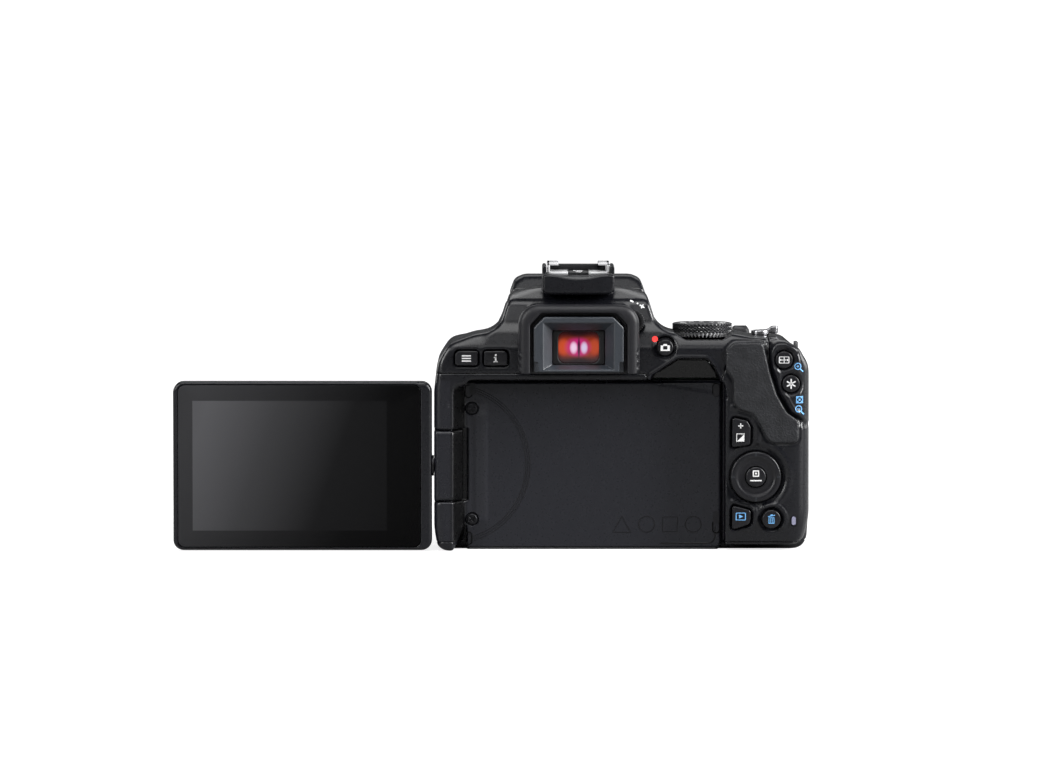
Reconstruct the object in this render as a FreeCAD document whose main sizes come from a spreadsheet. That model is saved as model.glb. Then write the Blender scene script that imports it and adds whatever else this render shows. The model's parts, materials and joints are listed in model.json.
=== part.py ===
"""A compact single-lens reflex camera body with a swing-out screen.

Frame: +X to the user's right, +Y out of the lens mount, +Z up, in millimetres.
The origin is the mouth of the tripod socket, under the optical axis, in the base plane.
The screen is stored swung out to the left, facing the user.
"""
import FreeCAD, Part
import os
import re
import Sketcher

Vector = FreeCAD.Vector
Rotation = FreeCAD.Rotation

doc = FreeCAD.newDocument("reflex_camera")
sheet = doc.addObject("Spreadsheet::Sheet", "Sizes")

SIZES = {
    # Body envelope
    "left_x": -47.1, "right_x": 75.4, "rear_y": -30.0, "front_y": 17.0,
    "grip_y": 31.8, "grip_left_x": 48.0, "grip_root_x": 43.0,
    "deck_z": 69.3, "wall": 2.0, "skin": 1.0,
    # Where the four covers meet
    "base_split": 3.0, "top_split": 58.1, "deck_split": 66.0, "rear_split": -10.0,
    "deck_left": 31.0, "brow_z": 72.6, "brow_y": 12.0,
    # Prism housing, half widths and heights
    "prism_foot": 29.5, "prism_waist": 24.7, "prism_cheek": 21.2, "prism_crown": 17.5,
    "prism_waist_z": 75.0, "prism_cheek_z": 84.9, "prism_top": 88.9,
    "flash_floor": 80.2, "flash_rear": -0.5,
    # Lens mount
    "axis_z": 38.0, "flange_y": 28.0, "throat": 27.0, "mount_rim": 32.3, "boss_rim": 34.0,
    "flange_rim": 30.8, "screw_ring": 29.3,
    # Screen recess in the back
    "recess_left": -37.1, "recess_right": 47.9, "recess_top": 56.0, "recess_floor": -21.9,
    "inner_rear": -20.0,
    # Screen, its arm and their two axes
    "swing_x": -42.3, "swing_y": -26.0, "tilt_z": 27.85,
    "panel_near": 5.5, "panel_wide": 84.4, "panel_tall": 55.1, "panel_thick": 7.6,
    "arm_half": 4.9, "arm_low": 16.3, "arm_high": 39.5, "arm_round": 5.5,
    "swing_pin": 1.5, "tilt_shaft": 2.2, "running": 0.05,
    # Eyepiece and accessory shoe
    "eye_half": 17.9, "eye_low": 57.9, "eye_high": 80.0, "eye_back": -33.0,
    "hump_half": 11.8, "hump_top": 89.9, "hump_rear": -23.5, "hump_front": -0.8,
    "rail_half": 10.25, "rail_gap": 6.45, "rail_top": 93.8, "rail_lip": 0.9, "rail_plate": 1.0,
    "rail_rear": -21.0, "rail_front": -2.5,
    # Buttons
    "proud": 0.9, "button_back": -27.2, "play": 0.15, "lip": 0.6,
    # Dials
    "dial_x": 40.9, "dial_y": -6.0, "dial_round": 9.9, "dial_low": 68.9, "dial_high": 73.6,
    "wheel_x": 51.2, "wheel_wide": 5.8, "wheel_y": 10.5, "wheel_z": 63.3, "wheel_round": 8.4,
    # Mirror pivot
    "mirror_y": -4.9, "mirror_z": 48.1,
    # Battery bay
    "door_hinge_x": 51.0, "door_edge_x": 71.2, "door_rear": -14.0, "door_front": 22.5,
    "door_axis_z": 1.3, "door_thick": 2.0,
    # Tripod socket, quarter inch, at its thread's crest
    "socket_bore": 2.55, "socket_deep": 5.5, "socket_boss": 6.0,
}

for row, (alias, value) in enumerate(SIZES.items(), start=1):
    sheet.set("A%d" % row, alias.replace("_", " "))
    sheet.set("B%d" % row, str(value))
    sheet.setAlias("B%d" % row, alias)
doc.recompute()

spare = doc.addObject("Spreadsheet::Sheet", "Spare")
WORD = re.compile(r"[a-z][a-z_0-9]*")


def size(expression):
    """The value of an expression in the sheet's names, worked out in a spare cell."""
    spare.set("A1", "=" + WORD.sub(lambda m: "Sizes." + m.group(0), str(expression)))
    spare.recompute()
    return float(spare.get("A1"))


def bind(thing, path, expression):
    """Tie one property to an expression in the sheet's names."""
    thing.setExpression(path, WORD.sub(lambda m: "Sizes." + m.group(0), str(expression)))


def place(thing, corner):
    for axis, value in zip("xyz", corner):
        bind(thing, "Placement.Base." + axis, value)
    return thing


TURN = {
    "x": Rotation(Vector(0, 1, 0), 90),
    "y": Rotation(Vector(1, 0, 0), -90),
    "z": Rotation(),
}


# ---------------------------------------------------------------- building blocks

def block(name, low, high):
    """A box between two corners."""
    box = doc.addObject("Part::Box", name)
    for side, start, end in zip(("Length", "Width", "Height"), low, high):
        bind(box, side, "(%s) - (%s)" % (end, start))
    return place(box, low)


def rod(name, start, radius, length, axis="z"):
    """A cylinder that starts at a point and runs along +axis."""
    cylinder = doc.addObject("Part::Cylinder", name)
    bind(cylinder, "Radius", radius)
    bind(cylinder, "Height", length)
    cylinder.Placement = FreeCAD.Placement(Vector(), TURN[axis])
    return place(cylinder, start)


def fuse(name, *pieces):
    joined = doc.addObject("Part::MultiFuse", name)
    joined.Shapes = list(pieces)
    joined.Refine = True
    return joined


def cut(name, base, *tools):
    tool = tools[0] if len(tools) == 1 else fuse(name + "_tools", *tools)
    result = doc.addObject("Part::Cut", name)
    result.Base = base
    result.Tool = tool
    result.Refine = True
    return result


def common(name, *pieces):
    shared = doc.addObject("Part::MultiCommon", name)
    shared.Shapes = list(pieces)
    shared.Refine = True
    return shared


def group(name, pieces):
    """Several separate solids in one sub-part."""
    compound = doc.addObject("Part::Compound", name)
    compound.Links = list(pieces)
    return compound


def outline(body, plane, points, level):
    """A closed polygon on one origin plane of a body, every corner tied to the sheet."""
    sketch = body.newObject("Sketcher::SketchObject", body.Name + "_outline")
    origin_plane = [item for item in body.Origin.OriginFeatures if item.Role == plane][0]
    sketch.AttachmentSupport = [(origin_plane, "")]
    sketch.MapMode = "FlatFace"
    bind(sketch, "AttachmentOffset.Base.z", level)
    corners = [(size(u), size(v)) for u, v in points]
    count = len(corners)
    for index, start in enumerate(corners):
        end = corners[(index + 1) % count]
        line = Part.LineSegment(Vector(start[0], start[1], 0), Vector(end[0], end[1], 0))
        sketch.addGeometry(line, False)
    for index in range(count):
        sketch.addConstraint(Sketcher.Constraint("Coincident", index, 2, (index + 1) % count, 1))
    for index, (u, v) in enumerate(points):
        for kind, text, value in zip(("DistanceX", "DistanceY"), (u, v), corners[index]):
            rule = Sketcher.Constraint(kind, -1, 1, index, 1, value)
            number = sketch.addConstraint(rule)
            bind(sketch, "Constraints[%d]" % number, text)
    return sketch


ALONG = {"XY_Plane": (0, 1), "XZ_Plane": (0, 2), "YZ_Plane": (1, 2)}


def corner_edges(shape, plane, corner):
    """Names of the straight edges that run along the pad at one corner of its outline."""
    first, second = ALONG[plane]
    names = []
    for number, edge in enumerate(shape.Edges, start=1):
        ends = [vertex.Point for vertex in edge.Vertexes]
        if len(ends) == 2 and all(
            abs(end[first] - corner[0]) < 0.001 and abs(end[second] - corner[1]) < 0.001
            for end in ends
        ):
            names.append("Edge%d" % number)
    return names


def prism(name, plane, points, low, high, rounds=()):
    """An outline padded from low to high along its plane's axis, with rounded corners.

    rounds holds (radius, corner numbers) pairs."""
    body = doc.addObject("PartDesign::Body", name)
    toward_low = plane == "XZ_Plane"
    level = "-(%s)" % high if toward_low else low
    sketch = outline(body, plane, points, level)
    doc.recompute()
    pad = body.newObject("PartDesign::Pad", name + "_pad")
    pad.Profile = sketch
    bind(pad, "Length", "(%s) - (%s)" % (high, low))
    doc.recompute()
    tip = pad
    for radius, corners in rounds:
        edges = []
        for corner in corners:
            spot = [size(value) for value in points[corner]]
            edges += corner_edges(tip.Shape, plane, spot)
        fillet = body.newObject("PartDesign::Fillet", name + "_round")
        fillet.Base = (tip, edges)
        bind(fillet, "Radius", radius)
        doc.recompute()
        tip = fillet
    return body


def rectangle(x_low, x_high, z_low, z_high):
    return [(x_low, z_low), (x_high, z_low), (x_high, z_high), (x_low, z_high)]


def plate(name, x_low, x_high, y_low, y_high, z_low, z_high, radius):
    """A plate that faces the user, its four corners rounded."""
    corners = rectangle(x_low, x_high, z_low, z_high)
    return prism(name, "XZ_Plane", corners, y_low, y_high, [(radius, range(4))])


# ---------------------------------------------------------------- outer form

def envelope(name, inset):
    """The body's volume, a given depth inside its outer skin."""
    plan = [
        ("left_x + %s" % inset, "rear_y + %s" % inset),
        ("right_x - %s" % inset, "rear_y + %s" % inset),
        ("right_x - %s" % inset, "grip_y - %s" % inset),
        ("grip_left_x + %s" % inset, "grip_y - %s" % inset),
        ("grip_root_x + %s" % inset, "front_y - %s" % inset),
        ("left_x + %s" % inset, "front_y - %s" % inset),
    ]
    plan_rounds = [
        ("4.0 - 0.9 * %s" % inset, [0]),
        ("6.0 - %s" % inset, [1]),
        ("12.0 - %s" % inset, [2]),
        ("9.0 - %s" % inset, [3]),
        ("3.0 + %s" % inset, [4]),
        ("8.0 - %s" % inset, [5]),
    ]
    from_above = prism(name + "_plan", "XY_Plane", plan, inset, "deck_z - %s" % inset, plan_rounds)
    face = [
        ("left_x + %s" % inset, inset),
        ("right_x - %s" % inset, inset),
        ("right_x - %s" % inset, "deck_z - 9.5 - 0.6 * %s" % inset),
        ("right_x - 9.5 - 0.6 * %s" % inset, "deck_z - %s" % inset),
        ("left_x + 8.5 + 0.5 * %s" % inset, "deck_z - %s" % inset),
        ("left_x + %s" % inset, "deck_z - 9.0 - 0.5 * %s" % inset),
    ]
    face_rounds = [("5.0 - %s" % inset, [0, 1]), ("6.0", [2, 3, 4, 5])]
    from_behind = prism(name + "_face", "XZ_Plane", face,
                        "rear_y + %s" % inset, "grip_y - %s" % inset, face_rounds)
    side = [
        ("rear_y + %s" % inset, inset),
        ("grip_y - %s" % inset, inset),
        ("grip_y - %s" % inset, "59 - %s" % inset),
        ("14 - %s" % inset, "deck_z - %s" % inset),
        ("rear_y + 1 + %s" % inset, "deck_z - %s" % inset),
        ("rear_y + %s" % inset, "deck_z - 1 - %s" % inset),
    ]
    side_rounds = [("7.0 - %s" % inset, [2]), ("12.0", [3])]
    from_side = prism(name + "_side", "YZ_Plane", side,
                      "left_x + %s" % inset, "right_x - %s" % inset, side_rounds)
    return common(name, from_above, from_behind, from_side)


def prism_housing(name, inset):
    """The peaked housing over the viewfinder, a given depth inside its skin."""
    face = [
        ("-prism_foot + %s" % inset, "top_split + 6"),
        ("prism_foot - %s" % inset, "top_split + 6"),
        ("prism_foot - %s" % inset, "deck_z - 0.5 - %s" % inset),
        ("prism_waist - %s" % inset, "prism_waist_z - 0.4 * %s" % inset),
        ("prism_cheek - %s" % inset, "prism_cheek_z - 0.4 * %s" % inset),
        ("prism_crown - 0.5 * %s" % inset, "prism_top - %s" % inset),
        ("-prism_crown + 0.5 * %s" % inset, "prism_top - %s" % inset),
        ("-prism_cheek + %s" % inset, "prism_cheek_z - 0.4 * %s" % inset),
        ("-prism_waist + %s" % inset, "prism_waist_z - 0.4 * %s" % inset),
        ("-prism_foot + %s" % inset, "deck_z - 0.5 - %s" % inset),
    ]
    from_behind = prism(name + "_face", "XZ_Plane", face, "rear_y + %s" % inset,
                        "20.0 - %s" % inset, [("2.0", [4, 5, 6, 7])])
    side = [
        ("rear_y + 0.2 + %s" % inset, "top_split + 6"),
        ("20.0 - %s" % inset, "top_split + 6"),
        ("20.0 - %s" % inset, "flash_floor - %s" % inset),
        ("flash_rear - %s" % inset, "flash_floor - %s" % inset),
        ("flash_rear - %s" % inset, "prism_top - %s" % inset),
        ("rear_y + 7 + %s" % inset, "prism_top - %s" % inset),
        ("rear_y + 3 + %s" % inset, "deck_z + 8"),
    ]
    from_side = prism(name + "_side", "YZ_Plane", side,
                      "-prism_foot + %s" % inset, "prism_foot - %s" % inset)
    return common(name, from_behind, from_side)


def outer_form():
    """The closed outer form of the four covers together."""
    boss = rod("mount_boss", (0, "front_y - 4", "axis_z"), "boss_rim", "flange_y - 3 - front_y + 4", "y")
    eye_block = plate("eyepiece_block", "-eye_half", "eye_half", "eye_back", "rear_y + 6",
                      "eye_low", "eye_high", "4.0")
    hump = block("shoe_hump", ("-hump_half", "hump_rear", "prism_cheek_z - 2"),
                 ("hump_half", "hump_front", "hump_top"))
    collar = rod("live_view_collar", (28.2, "rear_y - 0.4", 66.6), "4.3", "5.0", "y")
    return fuse("outer_form", envelope("skin_form", "0.0"), prism_housing("prism_form", "0.0"),
                boss, eye_block, hump, collar)


def inner_space():
    """The hollow inside the covers."""
    inside = envelope("inside_form", "wall")
    main = block("inside_main", ("left_x", "inner_rear", 0), ("right_x", "grip_y", "deck_z"))
    right = block("inside_right", ("recess_right + wall", "rear_y", 0),
                  ("right_x", "inner_rear + 1", "deck_z"))
    upper = block("inside_upper", ("left_x", "rear_y", "recess_top + 2.6"),
                  ("right_x", "inner_rear + 1", "deck_z"))
    rooms = fuse("inside_rooms", main, right, upper)
    hollow = common("inside_hollow", inside, rooms)
    keep = block("hinge_wall", ("left_x - 1", "inner_rear - 1", "arm_low - 3"),
                 ("recess_left + 2", "inner_rear + 2.6", "arm_high + 3"))
    hollow = cut("inside_clear", hollow, keep)
    return hollow


def throat_space():
    """The passage through the front of the mount."""
    return rod("throat_space", (0, "front_y - 3.5", "axis_z"), "flange_rim + 0.2", "15", "y")


def recess_space():
    """The pocket that holds the folded screen, open at the bottom, and the arm's notch."""
    pocket = block("recess_pocket", ("recess_left", "rear_y - 1", -1),
                   ("recess_right", "recess_floor", "recess_top"))
    notch = block("arm_notch", ("left_x - 1", "rear_y - 1", "arm_low - 0.25"),
                  ("recess_left + 0.1", "inner_rear + 0.4", "arm_high + 0.25"))
    edge = "3.5"
    square = block("edge_square", ("recess_left - %s" % edge, "rear_y - 1", -1),
                   ("recess_left + 0.1", "rear_y + %s" % edge, "recess_top"))
    quarter = rod("edge_quarter", ("recess_left - %s" % edge, "rear_y + %s" % edge, -2), edge,
                  "recess_top + 4")
    corner = cut("edge_corner", square, quarter)
    bores = rod("arm_pin_bore", ("swing_x", "swing_y", "arm_low - 4"), "swing_pin",
                "arm_high - arm_low + 8")
    return [pocket, notch, corner, bores]



# ---------------------------------------------------------------- buttons and other small controls

# Round buttons in the back: centre x, centre z, radius
ROUND_BUTTONS = {
    "live_view_button": (28.2, 66.6, 2.6),
    "focus_point_button": (66.9, 62.6, 2.8),
    "lock_button": (69.2, 54.8, 2.8),
    "erase_button": (62.9, 10.6, 3.0),
}
# Oblong buttons in the back: x from, x to, z from, z to
OBLONG_BUTTONS = {
    "menu_button": (-40.2, -32.8, 60.8, 65.5),
    "info_button": (-30.8, -23.1, 60.8, 65.5),
}
# Buttons with a curved or slanted side in the back
SHAPED_BUTTONS = {
    "exposure_button": [(50.0, 34.1), (56.0, 35.0), (56.0, 41.0), (54.7, 42.6), (50.2, 43.7)],
    "playback_button": [(50.1, 7.2), (56.0, 9.4), (56.0, 13.4), (50.1, 15.0)],
}
KEYS_X, KEYS_Z = 57.8, 24.4


def round_button(name, x, z, radius):
    cap = rod(name + "_cap", (x, "rear_y - proud", z), radius, "button_back - rear_y + proud", "y")
    lip = rod(name + "_lip", (x, "button_back - lip", z), "%s + lip" % radius, "lip", "y")
    hole = rod(name + "_hole", (x, "rear_y - 5", z), "%s + play" % radius, "9", "y")
    relief = rod(name + "_relief", (x, "button_back - lip", z), "%s + lip + play" % radius, 4, "y")
    return fuse(name, cap, lip), fuse(name + "_opening", hole, relief)


def oblong_button(name, x_low, x_high, z_low, z_high):
    cap = plate(name + "_cap", x_low, x_high, "rear_y - proud", "button_back", z_low, z_high, "1.1")
    lip = block(name + "_lip", (x_low - 0.6, "button_back - lip", z_low - 0.4),
                (x_high + 0.6, "button_back", z_high + 0.4))
    hole = plate(name + "_hole", "%s - play" % x_low, "%s + play" % x_high, "rear_y - 5",
                 "rear_y + 4", "%s - play" % z_low, "%s + play" % z_high, "1.25")
    relief = block(name + "_relief", (x_low - 0.8, "button_back - lip", z_low - 0.6),
                   (x_high + 0.8, "button_back + 3", z_high + 0.6))
    return fuse(name, cap, lip), fuse(name + "_opening", hole, relief)


def spread(points, distance):
    """An outline grown outward from its middle by about a distance."""
    middle = [sum(point[axis] for point in points) / len(points) for axis in (0, 1)]
    grown = []
    for point in points:
        away = Vector(point[0] - middle[0], point[1] - middle[1], 0)
        away.normalize()
        grown.append((point[0] + distance * 1.3 * away.x, point[1] + distance * 1.3 * away.y))
    return grown


def shaped_button(name, points):
    cap = prism(name + "_cap", "XZ_Plane", points, "rear_y - proud", "button_back",
                [("0.5", range(len(points)))])
    low = min(z for x, z in points) - 0.4
    high = max(z for x, z in points) + 0.4
    lip = block(name + "_lip", (50.3, "button_back - lip", low), (56.9, "button_back", high))
    hole = prism(name + "_hole", "XZ_Plane", spread(points, 0.15), "rear_y - 5", "rear_y + 4")
    return fuse(name, cap, lip), hole


def cross_keys():
    """The ring of direction keys and the set button inside it."""
    ring = rod("cross_ring", (KEYS_X, "rear_y - 1.0", KEYS_Z), 8.2, "3.4", "y")
    rim = rod("cross_rim", (KEYS_X, "rear_y + 2.05", KEYS_Z), 8.9, "0.6", "y")
    eye = rod("cross_eye", (KEYS_X, "rear_y - 2", KEYS_Z), 3.5, "6", "y")
    keys = cut("cross_keys", fuse("cross_blank", ring, rim), eye)
    cap = rod("set_cap", (KEYS_X, "rear_y - 1.2", KEYS_Z), 3.3, "5.0", "y")
    foot = rod("set_foot", (KEYS_X, "rear_y + 3.4", KEYS_Z), 4.6, "0.7", "y")
    button = fuse("set_button", cap, foot)
    hole = rod("cross_hole", (KEYS_X, "rear_y - 5", KEYS_Z), 8.4, "9", "y")
    relief = rod("cross_relief", (KEYS_X, "rear_y + 2.05", KEYS_Z), 9.1, "4", "y")
    return keys, button, fuse("cross_opening", hole, relief)


def thumb_pad():
    """The grained pad under the thumb, its edge running round the controls."""
    points = [(48.0, 59.5), (48.0, 66.0), (50.5, 68.2), (59.6, 68.2), (60.4, 66.8), (62.2, 58.5),
              (64.6, 51.0), (67.9, 45.3), (71.7, 42.7), (71.7, 37.2), (70.5, 35.5), (62.1, 35.5),
              (59.6, 40.2), (57.2, 44.4), (52.6, 46.4), (50.5, 48.5), (50.5, 56.0)]
    return prism("thumb_pad", "XZ_Plane", points, "rear_y - 1.2", "rear_y", [("1.2", [4, 14])])


def dioptre_knob():
    x, z = 17.6, 75.0
    wheel = rod("dioptre_wheel", (x, "eye_back + 2.0", z), 3.9, "3.2", "y")
    stem = rod("dioptre_stem", (x, "eye_back + 5.2", z), 1.2, "2.5", "y")
    pocket = rod("dioptre_pocket", (x, "eye_back - 1", z), 4.2, "6.5", "y")
    bore = rod("dioptre_bore", (x, "eye_back", z), 1.25, "9", "y")
    return fuse("dioptre_knob", wheel, stem), [pocket, bore]


def mode_dial():
    disc = rod("mode_disc", ("dial_x", "dial_y", "dial_low"), "dial_round", "dial_high - dial_low")
    stem = rod("mode_stem", ("dial_x", "dial_y", "dial_low - 3.5"), 2.5, "3.5")
    well = rod("mode_well", ("dial_x", "dial_y", "dial_low - 0.3"), "dial_round + 0.4", "8")
    bore = rod("mode_bore", ("dial_x", "dial_y", "dial_low - 6"), 2.55, "8")
    return fuse("mode_dial", disc, stem), [well, bore]


def power_lever():
    x, y = 59.8, -9.5
    hub = rod("lever_hub", (x, y, "deck_z + 0.1"), 2.9, 2.0)
    knob = block("lever_knob", (x, y - 1.8, "deck_z + 1.0"), (x + 5.9, y + 1.8, "deck_z + 3.2"))
    stem = rod("lever_stem", (x, y, "deck_z - 4.0"), 1.4, 4.2)
    bore = rod("lever_bore", (x, y, "deck_z - 6"), 1.45, 8)
    return fuse("power_lever", hub, knob, stem), bore


def main_dial():
    """The finger wheel on its cross axle, half sunk in the top cover."""
    wheel = rod("wheel_disc", ("wheel_x", "wheel_y", "wheel_z"), "wheel_round", "wheel_wide", "x")
    bore = rod("wheel_bore", ("wheel_x - 1", "wheel_y", "wheel_z"), 1.25, "wheel_wide + 2", "x")
    slot = block("wheel_slot", ("wheel_x - 0.3", "wheel_y - wheel_round - 0.4", 50),
                 ("wheel_x + wheel_wide + 0.3", "wheel_y + wheel_round + 0.4", 80))
    axle = rod("wheel_axle", ("wheel_x - 2.6", "wheel_y", "wheel_z"), 1.2, "wheel_wide + 5.2", "x")
    return cut("main_dial", wheel, bore), slot, axle


def wheel_brackets():
    """Two plates that hang from the top cover and hold the finger wheel's axle."""
    left = block("bracket_left", ("wheel_x - 2.6", "wheel_y - 3", "wheel_z - 3"),
                 ("wheel_x - 0.4", "wheel_y + 3", "deck_z - 1"))
    right = block("bracket_right", ("wheel_x + wheel_wide + 0.4", "wheel_y - 3", "wheel_z - 3"),
                  ("wheel_x + wheel_wide + 2.6", "wheel_y + 3", "deck_z - 1"))
    return [left, right]


def top_button(name, x, y, radius, low, high):
    cap = rod(name, (x, y, low), radius, high - low)
    hole = rod(name + "_hole", (x, y, 50), "%s + play" % radius, 40)
    return cap, hole


# ---------------------------------------------------------------- flash

FLASH_PIVOT_Y, FLASH_PIVOT_Z = 3.2, 85.6


def flash_head():
    """The pop-up flash: its head, the window in its front, its pin and the cover's two ears."""
    side = prism("flash_side", "YZ_Plane",
                 [(1.7, 80.6), (24.5, 80.6), (26.0, 83.5), (25.0, 87.0), (21.0, 89.0),
                  (FLASH_PIVOT_Y, 89.0), (FLASH_PIVOT_Y, 85.6)], "-22", "22", [("2.0", [2, 3, 4])])
    knuckle = rod("flash_knuckle", (-22, FLASH_PIVOT_Y, FLASH_PIVOT_Z), 3.4, 44, "x")
    face = prism("flash_face", "XZ_Plane",
                 [(-21.4, 80.0), (21.4, 80.0), (20.9, 84.9), (17.3, 89.0), (-17.3, 89.0),
                  (-20.9, 84.9)], "-1", "27", [("2.0", [2, 3, 4, 5])])
    above = prism("flash_above", "XY_Plane",
                  [(-22, -1), (22, -1), (22, 17), (14, 27), (-14, 27), (-22, 17)],
                  "79", "91", [("5.0", [2, 3, 4, 5])])
    head = common("flash_form", fuse("flash_mass", side, knuckle), face, above)
    window = plate("flash_window", -12.5, 12.5, 24.2, 26.3, 82.2, 87.2, "1.5")
    ears, slots, pins = [], [], []
    for name, x in (("left", -13.5), ("right", 12.0)):
        ears.append(block("flash_ear_" + name, (x, 1.7, "flash_floor - 1"), (x + 1.5, 4.7, 86.8)))
        slots.append(block("flash_slot_" + name, (x - 0.3, -1, 79), (x + 1.8, 5.3, 88)))
        pins.append(rod("flash_pin_" + name, (x - 2, FLASH_PIVOT_Y, FLASH_PIVOT_Z), 1.0, 5.5, "x"))
    bore = rod("flash_bore", (-16.5, FLASH_PIVOT_Y, FLASH_PIVOT_Z), 1.05, 33, "x")
    head = cut("flash_housing", head, window, bore, *slots)
    return head, window, ears, pins


# ---------------------------------------------------------------- lens mount and mirror box

def mount_ring(screw_places, pin_x):
    ring = rod("ring_disc", (0, "flange_y - 3", "axis_z"), "mount_rim", 3, "y")
    hole = rod("ring_throat", (0, "flange_y - 4", "axis_z"), "throat", 5, "y")
    plain = cut("ring_plain", ring, hole)
    tabs = []
    for number, turn in enumerate((112, 232, 352)):
        tab = doc.addObject("Part::Cylinder", "ring_tab_%d" % number)
        bind(tab, "Radius", "throat + 0.5")
        bind(tab, "Height", 1.4)
        tab.Angle = 44
        spin = Rotation(Vector(0, 1, 0), -turn)
        tab.Placement = FreeCAD.Placement(Vector(), spin.multiply(TURN["y"]))
        place(tab, (0, "flange_y - 2.3", "axis_z"))
        tabs.append(tab)
    core = rod("ring_core", (0, "flange_y - 4", "axis_z"), "throat - 1.8", 6, "y")
    bayonet = cut("ring_bayonet", fuse("ring_tabs", *tabs), core)
    holes = [rod("ring_hole_%d" % number, (x, "flange_y - 4", z), 0.8, 5, "y")
             for number, (x, z) in enumerate(screw_places)]
    sinks = [rod("ring_sink_%d" % number, (x, "flange_y - 0.8", z), 1.5, 1, "y")
             for number, (x, z) in enumerate(screw_places)]
    pin_hole = rod("ring_pin_hole", (pin_x, "flange_y - 4", "axis_z"), 1.25, 5, "y")
    return cut("mount_ring", fuse("ring_body", plain, bayonet), pin_hole, *(holes + sinks))


def mirror_box(screw_places, pin_x):
    flange = rod("box_flange", (0, "flange_y - 6", "axis_z"), "flange_rim", 3, "y")
    tube = block("box_tube", (-21, -12.4, 17.5), (21, "flange_y - 6", 53))
    inside = block("box_inside", (-19, -13, 19.5), (19, "flange_y - 6.0", 50))
    throat = rod("box_throat", (0, "flange_y - 7", "axis_z"), "throat", 5, "y")
    light_well = block("box_light_well", (-14.2, -6.2, 49), (14.2, 19.2, 54))
    holes = [rod("box_hole_%d" % number, (x, "flange_y - 7", z), 0.8, 5, "y")
             for number, (x, z) in enumerate(screw_places)]
    pin_hole = rod("box_pin_hole", (pin_x, "flange_y - 7", "axis_z"), 1.25, 5, "y")
    pivot = rod("box_pivot", (-22, "mirror_y", "mirror_z"), 0.85, 44, "x")
    trimmed = cut("box_throat_part", flange, throat)
    gate = cut("box_tube_part", tube, inside, pivot)
    plug = cut("box_flange_part", trimmed, pin_hole, *holes)
    return cut("mirror_box", fuse("box_body", gate, plug), light_well)


def reflex_mirror():
    """The viewing mirror, hinged at its upper rear edge and leaning 45 degrees."""
    reach, thick = 19.1, 1.0
    top_y, top_z = "mirror_y + 0.4", "mirror_z + 0.4"
    sheet_points = [(top_y, top_z), (top_y + " - %s" % thick, top_z + " - %s" % thick),
                    (top_y + " + %s" % (reach - thick), top_z + " - %s" % (reach + thick)),
                    (top_y + " + %s" % reach, top_z + " - %s" % reach)]
    glass = prism("mirror_sheet", "YZ_Plane", sheet_points, "-13.5", "13.5")
    barrel = rod("mirror_barrel", (-13.5, "mirror_y", "mirror_z"), 1.1, 27, "x")
    shaft = rod("mirror_shaft", (-20.8, "mirror_y", "mirror_z"), 0.8, 41.6, "x")
    return fuse("reflex_mirror", glass, barrel, shaft)


def mount_contacts():
    disc = rod("contact_disc", (0, "flange_y - 6", "axis_z"), "throat", 4.3, "y")
    strip = block("contact_strip", (-10.5, "flange_y - 6", 10), (10.5, "flange_y - 1.7", 15.6))
    seat = common("contact_seat", disc, strip)
    studs = [rod("contact_stud_%d" % number, (-8.4 + 2.4 * number, "flange_y - 1.7", 14.1), 0.6,
                 0.4, "y") for number in range(8)]
    return fuse("mount_contacts", seat, *studs)


def shutter():
    """The shutter's frame with its gate, and the blades that fall past the gate."""
    frame = block("shutter_frame", (-20, -15.0, 11.5), (20, -12.4, 53.5))
    gate = block("shutter_gate", (-12.2, -16, 30), (12.2, -12, 46))
    channel = block("shutter_channel", (-13.4, -14.2, 12.9), (13.4, -13.3, 47))
    unit = cut("shutter_unit", frame, gate, channel)
    blades = block("shutter_blades", (-13.2, -14.05, 29.8), (13.2, -13.45, 46.6))
    return unit, blades


def sensor():
    package = block("sensor_package", (-17, -18.6, 25), (17, -16.2, 51))
    cover_glass = block("sensor_glass", (-13, -16.2, 28.5), (13, -15.3, 47.5))
    return fuse("image_sensor", package, cover_glass)


def main_board():
    """The circuit board behind the sensor, and the shells of its sockets."""
    board = block("board_sheet", (-34.5, -19.9, 6), (46, -18.8, 56))
    window = block("board_window", (-8, -21, 44), (8, -18, 52))
    pieces = [cut("board_cut", board, window)]
    for name, z_low, z_high in (("display", 17, 23), ("data", 26, 30.5), ("sound", 42, 47)):
        shell = block("socket_" + name, (-45.0, -2.5, z_low), (-37, 5.0, z_high))
        hollow = block("socket_hollow_" + name, (-46, -1.8, z_low + 0.7), (-39, 4.3, z_high - 0.7))
        pieces.append(cut("socket_shell_" + name, shell, hollow))
    return group("main_board", pieces)


def socket_windows():
    return [block("socket_window_%d" % number, (-48, -1.8, low), (-44, 4.3, high))
            for number, (low, high) in enumerate(((17.7, 22.3), (26.7, 29.8), (42.7, 46.3)))]


def main_frame():
    floor = block("frame_floor", (-40, -18, "base_split"), (44, 14, "base_split + 1.5"))
    left = block("frame_left", (-26, -12, "base_split + 1"), (-24.5, 12, 58))
    right = block("frame_right", (24.5, -12, "base_split + 1"), (26, 12, 58))
    bush = rod("frame_bush", (0, 0, 0), "socket_boss", 10)
    return cut("main_frame", fuse("frame_blank", floor, left, right), bush)


def pentamirror():
    return prism("pentamirror", "YZ_Plane",
                 [(-15, 54), (15, 54), (15, 60), (-3.5, 76.5), (-6, 84), (-14, 84), (-18, 70)],
                 "-14", "14")


# ---------------------------------------------------------------- eyepiece and accessory shoe

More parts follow.
